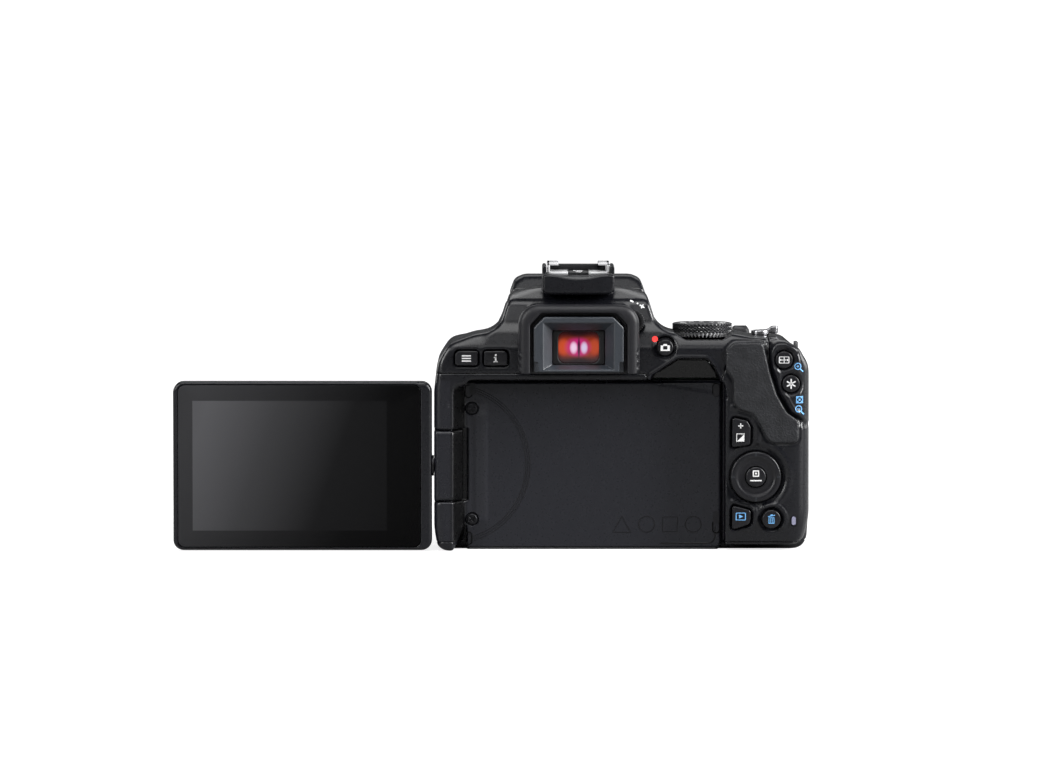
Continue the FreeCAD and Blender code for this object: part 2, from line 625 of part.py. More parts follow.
def eyecup():
    """The removable eyecup: a soft surround on a stiff frame."""
    soft = plate("cup_soft", -19.8, 19.8, "eye_back - 5", "eye_back - 0.05", 58.2, 81.0, "5.0")
    bay = plate("cup_bay", -15.2, 15.2, "eye_back - 6", "eye_back + 1", 58.8, 77.6, "2.0")
    grips = [block("cup_grip_" + side, (low, "eye_back - 0.5", 60), (low + 1.7, "eye_back + 1.7", 70))
             for side, low in (("left", -19.8), ("right", 18.1))]
    rubber = cut("eyecup_rubber", fuse("cup_mass", soft, *grips), bay)
    stiff = plate("cup_stiff", -15.2, 15.2, "eye_back - 4", "eye_back - 0.05", 58.8, 77.6, "2.0")
    bevel = plate("cup_bevel", -11.5, 11.5, "eye_back - 6", "eye_back - 2", 59.9, 75.0, "2.5")
    window = plate("cup_window", -8.6, 8.6, "eye_back - 6", "eye_back + 1", 61.1, 72.4, "1.5")
    return rubber, cut("eyecup_frame", stiff, bevel, window)


def accessory_shoe():
    """The steel shoe with its two lips, and the contact piece in its floor."""
    low = ("-rail_half", "rail_rear", "hump_top")
    body = block("shoe_body", low, ("rail_half", "rail_front", "rail_top"))
    slot = block("shoe_slot", ("-rail_half + 0.95", "rail_rear - 1", "hump_top + rail_plate"),
                 ("rail_half - 0.95", "rail_front - 0.8", "rail_top - rail_lip"))
    gap = block("shoe_gap", ("-rail_gap", "rail_rear - 1", "hump_top + rail_plate"),
                ("rail_gap", "rail_front - 0.8", "rail_top + 1"))
    seat = block("shoe_seat", (-3.3, "rail_rear - 1", "hump_top - 1"),
                 (3.3, "rail_front - 3", "hump_top + rail_plate + 0.1"))
    rail = cut("shoe_rail", body, slot, gap, seat)
    insert = block("insert_slab", (-3.3, "rail_rear + 0.6", "hump_top"),
                   (3.3, "rail_front - 3", "hump_top + rail_plate - 0.1"))
    contact = rod("insert_contact", (0, -11.5, "hump_top + 0.5"), 1.6, 0.5)
    return rail, fuse("shoe_insert", insert, contact)


# ---------------------------------------------------------------- screen

def screen():
    """The arm, its tilt shaft, the screen's shell, its glass and its display panel."""
    near = "swing_x - panel_near"
    far = "swing_x - panel_near - panel_wide"
    back, front = "swing_y - panel_thick / 2", "swing_y + panel_thick / 2"
    low, high = "tilt_z - panel_tall / 2", "tilt_z + panel_tall / 2"
    case = plate("screen_case", far, near, back, front, low, high, "3.0")
    glass = plate("screen_glass", far + " + 1.6", near + " - 3.7", back, back + " + 1.2",
                  low + " + 1.1", high + " - 1.1", "2.0")
    room = block("screen_room", (far + " + 4", back + " + 1.2", low + " + 4"),
                 (near + " - 12", front + " - 1.6", high + " - 4"))
    bore = rod("screen_bore", (near + " - 9.6", "swing_y", "tilt_z"), "tilt_shaft + running", 12, "x")
    shell = cut("screen_shell", case, glass, room, bore)
    panel = block("lcd_panel", (far + " + 4.3", back + " + 1.2", low + " + 4.3"),
                  (near + " - 12.3", back + " + 3.4", high + " - 4.3"))
    slab = block("arm_slab", ("swing_x - arm_half", "swing_y - 3.9", "arm_low"),
                 ("swing_x + arm_half", "swing_y + 3.9", "arm_high"))
    barrel = rod("arm_barrel", ("swing_x", "swing_y", "arm_low"), "arm_round", "arm_high - arm_low")
    pin_bore = rod("arm_pin_hole", ("swing_x", "swing_y", 0), "swing_pin + running", 60)
    shaft_seat = rod("arm_shaft_seat", ("swing_x - arm_half - 1", "swing_y", "tilt_z"),
                     "tilt_shaft", 4.2, "x")
    arm = cut("hinge_block", common("arm_form", slab, barrel), pin_bore, shaft_seat)
    shaft = rod("shaft_rod", (near + " - 9.2", "swing_y", "tilt_z"), "tilt_shaft", 13, "x")
    collar = rod("shaft_collar", (near + " + 0.05", "swing_y", "tilt_z"), 3.4, 0.55, "x")
    return arm, fuse("tilt_shaft_piece", shaft, collar), shell, glass, panel


# ---------------------------------------------------------------- doors and flaps

def battery_door():
    """The door in the base, its latch, its hinge pin and the opening it closes."""
    leaf = block("door_leaf", ("door_hinge_x", "door_rear", 0),
                 ("door_edge_x", "door_front", "door_thick"))
    barrel = rod("door_barrel", ("door_hinge_x", "door_rear", "door_axis_z"), "door_axis_z",
                 "door_front - door_rear", "y")
    bore = rod("door_bore", ("door_hinge_x", "door_rear - 1", "door_axis_z"), 0.65,
               "door_front - door_rear + 2", "y")
    track = block("door_track", (64.8, -2, -1), (69.8, 8, 1.1))
    door = cut("battery_door", fuse("door_mass", leaf, barrel), bore, track)
    latch = block("battery_latch", (65.0, -1.8, 0.05), (68.0, 7.8, 1.0))
    pin = rod("door_pin", ("door_hinge_x", "door_rear - 2.5", "door_axis_z"), 0.6,
              "door_front - door_rear + 5", "y")
    opening = block("door_opening", ("door_hinge_x - 1.5", "door_rear - 0.25", -1),
                    ("door_edge_x + 0.25", "door_front + 0.25", "base_split + 1"))
    return door, latch, pin, opening


def flap(name, x_skin, outward, y_free, y_hinge, z_low, z_high):
    """A thin cover that hinges at its front edge; outward is -1 on the left side, 1 on the right."""
    depth = 1.1
    clearance = 1.0
    inner = "%s - %s" % (x_skin, outward * depth)
    x_low, x_high = (x_skin, inner) if outward < 0 else (inner, x_skin)
    leaf = block(name + "_leaf", (x_low, y_free, z_low), (x_high, y_hinge, z_high))
    barrel = rod(name + "_barrel", ("%s - %s" % (x_skin, outward * depth / 2), y_hinge, z_low),
                 depth / 2, z_high - z_low)
    wide_low, wide_high = (x_skin + " - 1", inner) if outward < 0 else (inner, x_skin + " + 1")
    pocket = block(name + "_pocket", (wide_low, y_free - 0.15, z_low - 0.15),
                   (wide_high, y_hinge + clearance, z_high + 0.15))
    return fuse(name, leaf, barrel), pocket


# ---------------------------------------------------------------- fasteners, lugs, socket

def screws(ring_places):
    """Screws in the base, in the screen recess and in the mount ring."""
    pieces, holes = [], []
    for number, (x, y) in enumerate(((-41, -14), (-40, 9), (-14, -15.5), (14, -15.5), (45, 11))):
        head = rod("base_head_%d" % number, (x, y, 0.1), 1.7, 0.9)
        shank = rod("base_shank_%d" % number, (x, y, 0.9), 0.8, 1.1)
        pieces.append(fuse("base_screw_%d" % number, head, shank))
        holes.append(rod("base_sink_%d" % number, (x, y, -1), 1.7, 2.0))
        holes.append(rod("base_hole_%d" % number, (x, y, 0), 0.8, 3.5))
    for number, z in enumerate((9.9, 46.2)):
        spot = (-34.8, "recess_floor + 0.1", z)
        head = rod("recess_head_%d" % number, spot, 1.9, 0.8, "y")
        shank = rod("recess_shank_%d" % number, (-34.8, "recess_floor + 0.8", z), 0.8, 1.1, "y")
        pieces.append(fuse("recess_screw_%d" % number, head, shank))
        holes.append(rod("recess_sink_%d" % number, (-34.8, "recess_floor - 2", z), 1.9, 2.9, "y"))
        holes.append(rod("recess_hole_%d" % number, (-34.8, "recess_floor", z), 0.8, 1.9, "y"))
    for number, (x, z) in enumerate(ring_places):
        head = rod("mount_head_%d" % number, (x, "flange_y - 0.8", z), 1.5, 0.75, "y")
        shank = rod("mount_shank_%d" % number, (x, "flange_y - 5.5", z), 0.8, 4.8, "y")
        pieces.append(fuse("mount_screw_%d" % number, head, shank))
    return group("screws", pieces), holes


def recess_bumpers():
    """Three soft stops that the folded screen rests against, let into the recess floor."""
    pieces, holes = [], []
    for number, (x, z) in enumerate(((45.1, 10.4), (45.1, 52.2), (-34.6, 52.6))):
        piece = plate("bumper_%d" % number, x - 1.0, x + 1.0, "recess_floor - 0.2",
                      "recess_floor + 0.8", z - 2.0, z + 2.0, "0.9")
        pieces.append(piece)
        holes.append(plate("bumper_seat_%d" % number, x - 1.0, x + 1.0, "recess_floor - 1",
                           "recess_floor + 0.8", z - 2.0, z + 2.0, "0.9"))
    return group("recess_bumpers", pieces), holes


def strap_lugs():
    right = block("lug_right", (71.5, -4, 57.5), (72.6, 5, 66.9))
    right_slot = block("lug_slot_right", (70, -2.6, 64.0), (74, 3.6, 65.9))
    left = block("lug_left", (-44.7, 8.5, 52), (-43.6, 19.2, 61))
    left_slot = block("lug_slot_left", (-46, 16.0, 53.6), (-42, 18.1, 59.4))
    lugs = [cut("lug_a", right, right_slot), cut("lug_b", left, left_slot)]
    seats = [block("lug_seat_right", (71.5, -4, 57.5), (72.6, 5, 68)),
             block("lug_seat_left", (-44.7, 8.5, 52), (-43.6, 21, 61))]
    return group("strap_lugs", lugs), seats


def tripod_socket():
    boss = rod("socket_body", (0, 0, 0), "socket_boss", "socket_deep + 1.5")
    bore = rod("socket_hole", (0, 0, -1), "socket_bore", "socket_deep + 1")
    return cut("tripod_socket", boss, bore)


# ---------------------------------------------------------------- assembly

def build():
    ring_places = []
    for turn in (40, 140, 220, 320):
        spoke = Rotation(Vector(0, 1, 0), -turn).multVec(Vector(size("screw_ring"), 0, 0))
        ring_places.append((round(spoke.x, 4), round(size("axis_z") + spoke.z, 4)))
    pin_x = "-screw_ring"

    parts = {}
    rear_holes, top_holes, front_holes, base_holes = [], [], [], []

    for name, numbers in ROUND_BUTTONS.items():
        parts[name], hole = round_button(name, *numbers)
        (top_holes if name == "live_view_button" else rear_holes).append(hole)
    for name, numbers in OBLONG_BUTTONS.items():
        parts[name], hole = oblong_button(name, *numbers)
        top_holes.append(hole)
    for name, points in SHAPED_BUTTONS.items():
        parts[name], hole = shaped_button(name, points)
        rear_holes.append(hole)
    parts["cross_keys"], parts["set_button"], hole = cross_keys()
    rear_holes.append(hole)
    parts["thumb_pad"] = thumb_pad()
    parts["dioptre_knob"], holes = dioptre_knob()
    top_holes += holes
    parts["mode_dial"], holes = mode_dial()
    top_holes += holes
    parts["power_lever"], hole = power_lever()
    top_holes.append(hole)
    parts["main_dial"], wheel_slot, axle = main_dial()
    parts["shutter_button"], hole = top_button("shutter_button", 62.0, 23.0, 5.0, 60.5, 66.6)
    top_holes.append(hole)
    parts["iso_button"], hole = top_button("iso_button", 45.2, 10.8, 2.3, 66.0, 69.9)
    top_holes.append(hole)

    parts["flash_housing"], parts["flash_window"], ears, flash_pins = flash_head()
    parts["mount_ring"] = mount_ring(ring_places, pin_x)
    parts["mirror_box"] = mirror_box(ring_places, pin_x)
    parts["reflex_mirror"] = reflex_mirror()
    parts["mount_contacts"] = mount_contacts()
    parts["shutter_unit"], parts["shutter_blades"] = shutter()
    parts["image_sensor"] = sensor()
    parts["main_board"] = main_board()
    parts["main_frame"] = main_frame()
    parts["pentamirror"] = pentamirror()
    parts["focusing_screen"] = block("focusing_screen", (-14.2, -6.2, 50.6), (14.2, 19.2, 52.0))
    lens_low, lens_high = (-8.6, "rear_y - 1", 61.1), (8.6, "rear_y + 3", 72.4)
    parts["eyepiece_lens"] = block("eyepiece_lens", lens_low, lens_high)
    eye_tunnel = block("eye_tunnel", (-8.6, "eye_back - 1", 61.1), (8.6, "rear_y + 7", 72.4))
    parts["eyecup_rubber"], parts["eyecup_frame"] = eyecup()
    parts["shoe_rail"], parts["shoe_insert"] = accessory_shoe()
    parts["battery"] = prism("battery", "XY_Plane",
                             [(54, -12), (68.5, -12), (68.5, 20.5), (54, 20.5)],
                             "base_split + 0.3", "48.7", [("2.0", range(4))])
    parts["access_lamp"] = plate("access_lamp", 69.55, 70.85, "rear_y - 0.1", "rear_y + 2.0",
                                 8.65, 11.35, "0.6")
    rear_holes.append(plate("access_hole", 69.55, 70.85, "rear_y - 1", "rear_y + 4",
                            8.65, 11.35, "0.6"))
    parts["focus_lamp"] = rod("focus_lamp", (34.5, "front_y - 2.5", 60.5), 3.2, 2.8, "y")
    front_holes.append(rod("focus_hole", (34.5, "front_y - 3", 60.5), 3.2, 6, "y"))

    parts["lens_release_button"] = rod("lens_release_button", (-39.7, 12.0, 36), 4.0, 7.4, "y")
    front_holes.append(rod("release_hole", (-39.7, 11, 36), "4.0 + play", 9, "y"))
    parts["lock_pin"] = rod("lock_pin", (pin_x, "flange_y - 8.5", "axis_z"), 1.2, 9.3, "y")

    parts["battery_door"], parts["battery_latch"], door_pin, opening = battery_door()
    base_holes += [opening, door_pin]
    flap_y = (-6, 8)
    parts["terminal_cover_lower"], pocket = flap("terminal_cover_lower", "left_x", -1,
                                                 *flap_y, 14, 34)
    front_holes.append(pocket)
    parts["terminal_cover_upper"], pocket = flap("terminal_cover_upper", "left_x", -1,
                                                 *flap_y, 37, 52)
    front_holes.append(pocket)
    front_holes += socket_windows()
    parts["coupler_cover"], pocket = flap("coupler_cover", "right_x", 1, -22, -13.5, 19, 31)
    rear_holes.append(pocket)

    parts["screws"], screw_holes = screws(ring_places)
    base_holes += [hole for hole in screw_holes if hole.Name.startswith("base")]
    rear_holes += [hole for hole in screw_holes if hole.Name.startswith("recess")]
    parts["recess_bumpers"], holes = recess_bumpers()
    rear_holes += holes
    parts["strap_lugs"], (right_seat, left_seat) = strap_lugs()
    parts["tripod_socket"] = tripod_socket()
    base_holes.append(rod("socket_seat", (0, 0, -1), "socket_boss", 8))

    arm, shaft, parts["screen_shell"], parts["screen_glass"], parts["lcd_panel"] = screen()
    parts["hinge_block"], parts["tilt_shaft"] = arm, shaft
    arm_pin = rod("arm_pin", ("swing_x", "swing_y", "arm_low - 4"), "swing_pin",
                  "arm_high - arm_low + 8")
    parts["hinge_pins"] = group("hinge_pins", [arm_pin, door_pin, axle] + flash_pins)

    # The covers: one closed form, hollowed, then parted along its joint lines
    form = outer_form()
    hollow = [inner_space(), prism_housing("prism_space", "wall"), throat_space(), eye_tunnel]
    shell = cut("whole_shell", form, *(hollow + recess_space()))
    base_part = block("base_part", (-60, -60, -1), (90, 60, "base_split"))
    top_part = fuse(
        "top_part",
        block("top_left_part", (-60, -60, "top_split"), ("deck_left", "brow_y", 100)),
        block("top_right_part", ("deck_left", -60, "deck_split"), (90, 60, 100)),
        block("top_brow_part", (-60, "brow_y", "brow_z"), ("deck_left", 60, 100)),
        block("top_grip_part", ("grip_root_x + 1", "brow_y", 58.5), (90, 60, 100)))
    rear_block = block("rear_block", (-60, -60, "base_split"), (90, "rear_split", 100))
    front_block = block("front_block", (-60, "rear_split", "base_split"), (90, 60, 100))
    skin_zone = block("skin_zone", (44, -4, 8), (90, 60, 57))
    parts["grip_skin"] = common("grip_skin", cut("skin_layer", envelope("skin_outer", "0.0"),
                                                 envelope("skin_inner", "skin")), skin_zone)
    parts["base_cover"] = cut("base_cover", common("base_shell", shell, base_part), *base_holes)
    brackets = wheel_brackets()
    top_mass = fuse("top_mass", common("top_shell", shell, top_part), *(ears + brackets))
    axle_bore = rod("axle_bore", ("wheel_x - 4", "wheel_y", "wheel_z"), 1.2, "wheel_wide + 8", "x")
    parts["top_cover"] = cut("top_cover", top_mass, wheel_slot, axle_bore, right_seat, left_seat,
                             *(top_holes + flash_pins))
    parts["rear_cover"] = cut("rear_cover", cut("rear_shell", common("rear_mass", shell, rear_block),
                                                top_part), *rear_holes)
    front_shell = cut("front_shell", common("front_mass", shell, front_block), top_part)
    parts["front_cover"] = cut("front_cover", front_shell, parts["grip_skin"], left_seat,
                               right_seat, *front_holes)
    return parts


parts = build()
doc.recompute()

troubles = ["%s %s" % (item.Name, item.State) for item in doc.Objects
            if "Invalid" in item.State or "Error" in item.State]
for node, piece in parts.items():
    piece.Label = node
    if piece.Shape.isNull() or not piece.Shape.isValid() or not piece.Shape.Solids:
        troubles.append("%s has no valid shape" % node)
if troubles:
    raise SystemExit("not written: " + "; ".join(troubles))

os.makedirs("parts", exist_ok=True)
for node, piece in parts.items():
    piece.Shape.exportStep("parts/%s.step" % node)
    print("%-22s %2d solid(s) %10.1f mm3" % (node, len(piece.Shape.Solids), piece.Shape.Volume))
print(len(parts), "sub-parts")
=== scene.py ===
"""The reflex camera body's looks: skins, screen, controls, marks and studio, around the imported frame.

Lengths in this file are millimetres in the frame of the CAD model, turned into metres when a mesh is made.
"""

import functools
import json
import math

import bmesh
import bpy
import numpy as np
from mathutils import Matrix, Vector


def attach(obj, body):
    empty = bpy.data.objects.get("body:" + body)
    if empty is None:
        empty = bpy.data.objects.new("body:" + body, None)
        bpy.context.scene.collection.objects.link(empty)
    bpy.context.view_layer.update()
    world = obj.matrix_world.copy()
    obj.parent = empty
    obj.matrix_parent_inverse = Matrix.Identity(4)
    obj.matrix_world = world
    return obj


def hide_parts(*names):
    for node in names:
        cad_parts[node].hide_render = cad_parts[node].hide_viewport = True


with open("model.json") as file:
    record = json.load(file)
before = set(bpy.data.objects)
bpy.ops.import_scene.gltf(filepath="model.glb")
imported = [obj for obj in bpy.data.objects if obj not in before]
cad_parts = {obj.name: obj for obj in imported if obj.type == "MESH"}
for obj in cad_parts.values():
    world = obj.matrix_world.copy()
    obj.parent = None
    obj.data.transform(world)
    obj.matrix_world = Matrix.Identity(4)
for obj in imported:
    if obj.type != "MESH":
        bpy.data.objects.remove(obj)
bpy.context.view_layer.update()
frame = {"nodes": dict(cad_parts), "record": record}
MM = 0.001
BODY = "camera_body"


# ---------------------------------------------------------------- shapes as distance fields

def soft_min(a, b, k):
    h = np.maximum(k - np.abs(a - b), 0.0) / k
    return np.minimum(a, b) - h * h * k * 0.25


def soft_max(a, b, k):
    return -soft_min(-a, -b, k)


def all_of(*fields):
    """Inside every one of some fields."""
    return functools.reduce(np.maximum, fields)


def any_of(*fields):
    """Inside one or more of some fields."""
    return functools.reduce(np.minimum, fields)


def without(solid, *holes):
    """A solid with other fields cut out of it."""
    return all_of(solid, *[-hole for hole in holes])


def step_up(value, low, high):
    """0 below low, 1 above high, smooth between."""
    t = np.clip((value - low) / (high - low), 0.0, 1.0)
    return t * t * (3.0 - 2.0 * t)


def rounded(corners, arc_points=7):
    """A closed outline whose corners (u, v, radius) are turned into arcs."""
    outline = []
    count = len(corners)
    for index, corner in enumerate(corners):
        here = np.array(corner[:2], float)
        radius = corner[2] if len(corner) > 2 else 0.0
        before = np.array(corners[index - 1][:2], float) - here
        after = np.array(corners[(index + 1) % count][:2], float) - here
        if radius <= 0.0:
            outline.append(tuple(here))
            continue
        reach_before, reach_after = np.linalg.norm(before), np.linalg.norm(after)
        before /= reach_before
        after /= reach_after
        half = math.acos(np.clip(before @ after, -1, 1)) / 2
        run = min(radius / math.tan(half), 0.49 * reach_before, 0.49 * reach_after)
        radius = run * math.tan(half)
        centre = here + (before + after) / np.linalg.norm(before + after) * radius / math.sin(half)
        start, end = here + before * run - centre, here + after * run - centre
        for k in range(arc_points):
            t = k / (arc_points - 1)
            spoke = start * (1 - t) + end * t
            outline.append(tuple(centre + spoke / np.linalg.norm(spoke) * radius))
    return outline


def both_sides(right_half, arc_points):
    """A closed outline that is the same left and right, from its right half's corners, going up."""
    left_half = [(-corner[0], *corner[1:]) for corner in reversed(right_half)]
    return rounded(right_half + left_half, arc_points)


def rounded_box(u_low, u_high, v_low, v_high, radius, arc_points):
    return rounded([(u_low, v_low, radius), (u_high, v_low, radius), (u_high, v_high, radius),
                    (u_low, v_high, radius)], arc_points)


def inside_of(outline, u, v):
    """Signed distance to a closed outline, negative inside."""
    u, v = np.broadcast_arrays(u, v)
    nearest = np.full(u.shape, 1e9)
    inside = np.zeros(u.shape, bool)
    for index, (bu, bv) in enumerate(outline):
        au, av = outline[index - 1]
        eu, ev = bu - au, bv - av
        length = eu * eu + ev * ev
        if length < 1e-12:
            continue
        t = np.clip(((u - au) * eu + (v - av) * ev) / length, 0.0, 1.0)
        nearest = np.minimum(nearest, (u - au - eu * t) ** 2 + (v - av - ev * t) ** 2)
        if ev != 0.0:
            crosses = ((av > v) != (bv > v)) & (u < (v - av) * eu / ev + au)
            inside ^= crosses
    distance = np.sqrt(nearest)
    return np.where(inside, -distance, distance).astype(np.float32)


def along(path, u, v):
    """Distance to an open path of straight runs."""
    nearest = None
    for (au, av), (bu, bv) in zip(path, path[1:]):
        eu, ev = bu - au, bv - av
        t = np.clip(((u - au) * eu + (v - av) * ev) / (eu * eu + ev * ev), 0.0, 1.0)
        d = (u - au - eu * t) ** 2 + (v - av - ev * t) ** 2
        nearest = d if nearest is None else np.minimum(nearest, d)
    return np.sqrt(nearest)


def span(value, low, high):
    """Distance outside an interval, negative inside."""
    return np.abs(value - (low + high) / 2) - (high - low) / 2


def rect(u, v, u_low, u_high, v_low, v_high, radius=0.0):
    """Signed distance to a rounded rectangle."""
    du = span(u, u_low, u_high) + radius
    dv = span(v, v_low, v_high) + radius
    outside = np.sqrt(np.maximum(du, 0) ** 2 + np.maximum(dv, 0) ** 2)
    return outside + np.minimum(np.maximum(du, dv), 0) - radius


def disc(u, v, cu, cv, radius):
    return np.sqrt((u - cu) ** 2 + (v - cv) ** 2) - radius


CUBE = [(i, j, k) for i in (0, 1) for j in (0, 1) for k in (0, 1)]
CUBE_EDGES = [(a, b) for a in range(8) for b in range(a + 1, 8)
              if sum(abs(p - q) for p, q in zip(CUBE[a], CUBE[b])) == 1]


def skin_of(field, axes):
    """Surface nets: the zero surface of a field sampled on three axes, as points and quads."""
    low, high = field, field
    for axis in range(3):
        low, high = [keep(np.delete(part, -1, axis), np.delete(part, 0, axis))
                     for keep, part in ((np.minimum, low), (np.maximum, high))]
    cells = np.argwhere((low < 0) & (high >= 0))
    number = np.full(low.shape, -1, np.int32)
    number[tuple(cells.T)] = np.arange(len(cells), dtype=np.int32)
    values = np.stack([field[tuple((cells + corner).T)] for corner in CUBE], 1)
    total = np.zeros((len(cells), 3))
    hits = np.zeros(len(cells))
    for a, b in CUBE_EDGES:
        va, vb = values[:, a], values[:, b]
        crosses = (va < 0) != (vb < 0)
        t = np.where(crosses, va / np.where(crosses, va - vb, 1.0), 0.0)
        point = np.array(CUBE[a]) + t[:, None] * (np.array(CUBE[b]) - np.array(CUBE[a]))
        total += point * crosses[:, None]
        hits += crosses
    local = total / hits[:, None]
    points = np.empty((len(cells), 3))
    for axis, places in enumerate(axes):
        start = places[cells[:, axis]]
        points[:, axis] = start + local[:, axis] * (places[cells[:, axis] + 1] - start)
    inside = field < 0
    quads = []
    for axis in range(3):
        one, two = (axis + 1) % 3, (axis + 2) % 3
        first, second = np.delete(inside, -1, axis), np.delete(inside, 0, axis)
        edges = np.argwhere(first != second)
        keep = (edges[:, one] > 0) & (edges[:, two] > 0)
        keep &= (edges[:, one] < low.shape[one]) & (edges[:, two] < low.shape[two])
        edges = edges[keep]
        around = []
        for back_one, back_two in ((1, 1), (0, 1), (0, 0), (1, 0)):
            cell = edges.copy()
            cell[:, one] -= back_one
            cell[:, two] -= back_two
            around.append(number[tuple(cell.T)])
        face = np.stack(around, 1)
        flip = ~first[tuple(edges.T)]
        face[flip] = face[flip][:, ::-1]
        quads.append(face)
    return points, np.concatenate(quads)


def band(one, two, count):
    """Quads between two rings of count points that start at one and two."""
    return [(one + k, one + (k + 1) % count, two + (k + 1) % count, two + k) for k in range(count)]


def placed(name, data):
    """A new object in the scene."""
    thing = bpy.data.objects.new(name, data)
    bpy.context.scene.collection.objects.link(thing)
    return thing


def ticks(low, high, step):
    count = max(3, int(round((high - low) / step)) + 1)
    return np.linspace(low, high, count)


def quad_mesh(name, points, faces):
    """A smooth mesh from arrays in millimetres."""
    mesh = bpy.data.meshes.new(name)
    points = np.asarray(points, np.float32) * MM
    faces = np.asarray(faces, np.int32)
    width = faces.shape[1]
    mesh.vertices.add(len(points))
    mesh.vertices.foreach_set("co", points.ravel())
    mesh.loops.add(faces.size)
    mesh.loops.foreach_set("vertex_index", faces.ravel())
    mesh.polygons.add(len(faces))
    mesh.polygons.foreach_set("loop_start", np.arange(0, faces.size, width, dtype=np.int32))
    mesh.update(calc_edges=True)
    mesh.validate()
    mesh.polygons.foreach_set("use_smooth", np.ones(len(mesh.polygons), bool))
    return placed(name, mesh)


COARSE = 1.0


def grown(name, field_of, low=None, high=None, step=None, axes=None):
    """The solid where field_of(x, y, z) is negative, sampled between two corners.

    step is one number, or one per axis; axes gives the sample places instead."""
    if axes is None:
        steps = np.broadcast_to(np.array(step, float), 3) * COARSE
        axes = [ticks(a, b, s) for a, b, s in zip(low, high, steps)]
    x = axes[0].astype(np.float32)[:, None, None]
    y = axes[1].astype(np.float32)[None, :, None]
    z = axes[2].astype(np.float32)[None, None, :]
    field = np.array(np.broadcast_to(field_of(x, y, z), [len(a) for a in axes]), np.float32)
    points, quads = skin_of(field, axes)
    thing = quad_mesh(name, points, quads)
    slopes = np.gradient(field, *axes)
    spots = [np.searchsorted(a, points[:, n], "right") - 1 for n, a in enumerate(axes)]
    spots = [np.clip(s, 0, len(a) - 2) for s, a in zip(spots, axes)]
    parts = [(points[:, n] - axes[n][spots[n]]) / (axes[n][spots[n] + 1] - axes[n][spots[n]])
             for n in range(3)]
    normals = np.zeros((len(points), 3))
    for corner in CUBE:
        weight = np.ones(len(points))
        for n in range(3):
            weight *= parts[n] if corner[n] else 1 - parts[n]
        place = tuple(spots[n] + corner[n] for n in range(3))
        for n in range(3):
            normals[:, n] += weight * slopes[n][place]
    normals /= np.maximum(np.linalg.norm(normals, axis=1), 1e-9)[:, None]
    if len(thing.data.vertices) == len(points):
        thing.data.normals_split_custom_set_from_vertices(normals.tolist())
    return thing


# ---------------------------------------------------------------- the body's outer form

# Closed outlines, each corner with its radius: PLAN in x and y, the SIDE ones in y and z, the rest in x and z
PLAN = rounded([(-47.1, -30, 4), (75.4, -30, 8), (75.4, 31.8, 12), (48, 31.8, 9), (43, 17, 4),
                (-47.1, 17, 8)], 9)
FACE = rounded([(-47.1, 8.0, 9), (-45.6, 2.4, 3), (-42.8, 0, 4), (71.0, 0, 5), (74.5, 3.6, 4),
                (75.4, 12.0, 9), (75.2, 60.6, 6), (66.4, 68.4, 5), (57, 68.8, 12), (48.5, 70.4, 12),
                (-32.5, 70.2, 14), (-41.6, 67.0, 6), (-45.4, 61.4, 6), (-47.1, 52.0, 9)], 9)
SIDE = rounded([(-30, 0, 1.0), (31.8, 0, 3), (31.8, 59, 7), (14, 69.3, 12), (5, 69.4, 8),
                (-3, 73.0, 6), (-26.2, 73.0, 3.5), (-30, 66.4, 4)], 9)
PRISM_FLANK = [(29.5, 50), (27.4, 70.5, 5), (25.0, 75.5, 6)]
PRISM_FACE = both_sides(PRISM_FLANK + [(20.9, 87.0, 3.2), (17.4, 88.9, 4)], 7)
ROOF_FACE = both_sides(PRISM_FLANK + [(22.5, 83.3, 2.4), (12.6, 86.2, 6)], 7)
ROOF_SIDE = rounded([(-26.4, 50), (-26.4, 73, 6), (-24.0, 81.6, 4), (-13.0, 85.3, 4), (-0.5, 85.9),
                     (-0.5, 80.2), (20, 80.2, 2), (21, 50)], 7)
BLEND_LOSS = 0.8    # the soft joins of the outlines draw the skin in by this much; given back
FLOOR_Y = -21.9
RECESS = (-37.1, 47.9, 56.0, FLOOR_Y)
NEAR_BACK = (-21.5, -18.5)      # the relief of the back fades out between these depths
SPLIT_BASE, SPLIT_REAR = 3.0, -10.0
TOP_EDGE = [(-60, 58.1), (21.6, 58.1), (22.6, 55.9), (46.6, 55.9), (47.6, 58.8), (48.4, 61.2),
            (62.2, 61.2), (62.2, 69.4), (95, 69.4), (95, 130), (-60, 130)]
WALL = 2.0

EAR = rounded([(62.3, 65.0, 2), (63.6, 68.6, 2.5), (67.5, 68.8, 3), (82, 62), (82, 43), (75, 42.0, 3),
               (69.2, 45.4, 4), (65.8, 51.8, 5), (63.6, 58.5, 5)])
PAD = rounded([(48, 59.5, 1.2), (48, 66.0, 1.5), (50.5, 68.2, 1.5), (59.6, 68.2, 1.2),
               (60.4, 66.8, 1.2), (62.2, 58.5, 5), (64.6, 51.0, 4), (67.9, 45.3, 3), (71.7, 42.7, 1.4),
               (71.7, 35.5, 1.8), (62.1, 35.5, 3), (59.4, 40.6, 3), (57.2, 44.9, 4),
               (52.4, 46.4, 2.5), (50.5, 48.5, 2.5), (50.5, 56.0, 3)])
EXPOSURE = rounded([(50.0, 34.0, 0.7), (55.9, 34.9, 0.9), (56.1, 40.6, 1.6), (54.9, 42.7, 1.0),
                    (50.1, 43.8, 0.9)])
PLAYBACK = rounded([(50.1, 7.1, 0.7), (55.6, 8.9, 1.0), (56.1, 10.6, 1.4), (56.1, 13.5, 1.0),
                    (50.1, 15.0, 0.8)])
SCOOP = rounded([(22.8, 54), (23.8, 57.4, 0.8), (32.4, 63.0, 1.6), (41.8, 62.9, 1.4), (44.0, 60.6, 1.5),
                 (46.0, 56.6, 2), (48.3, 50)])
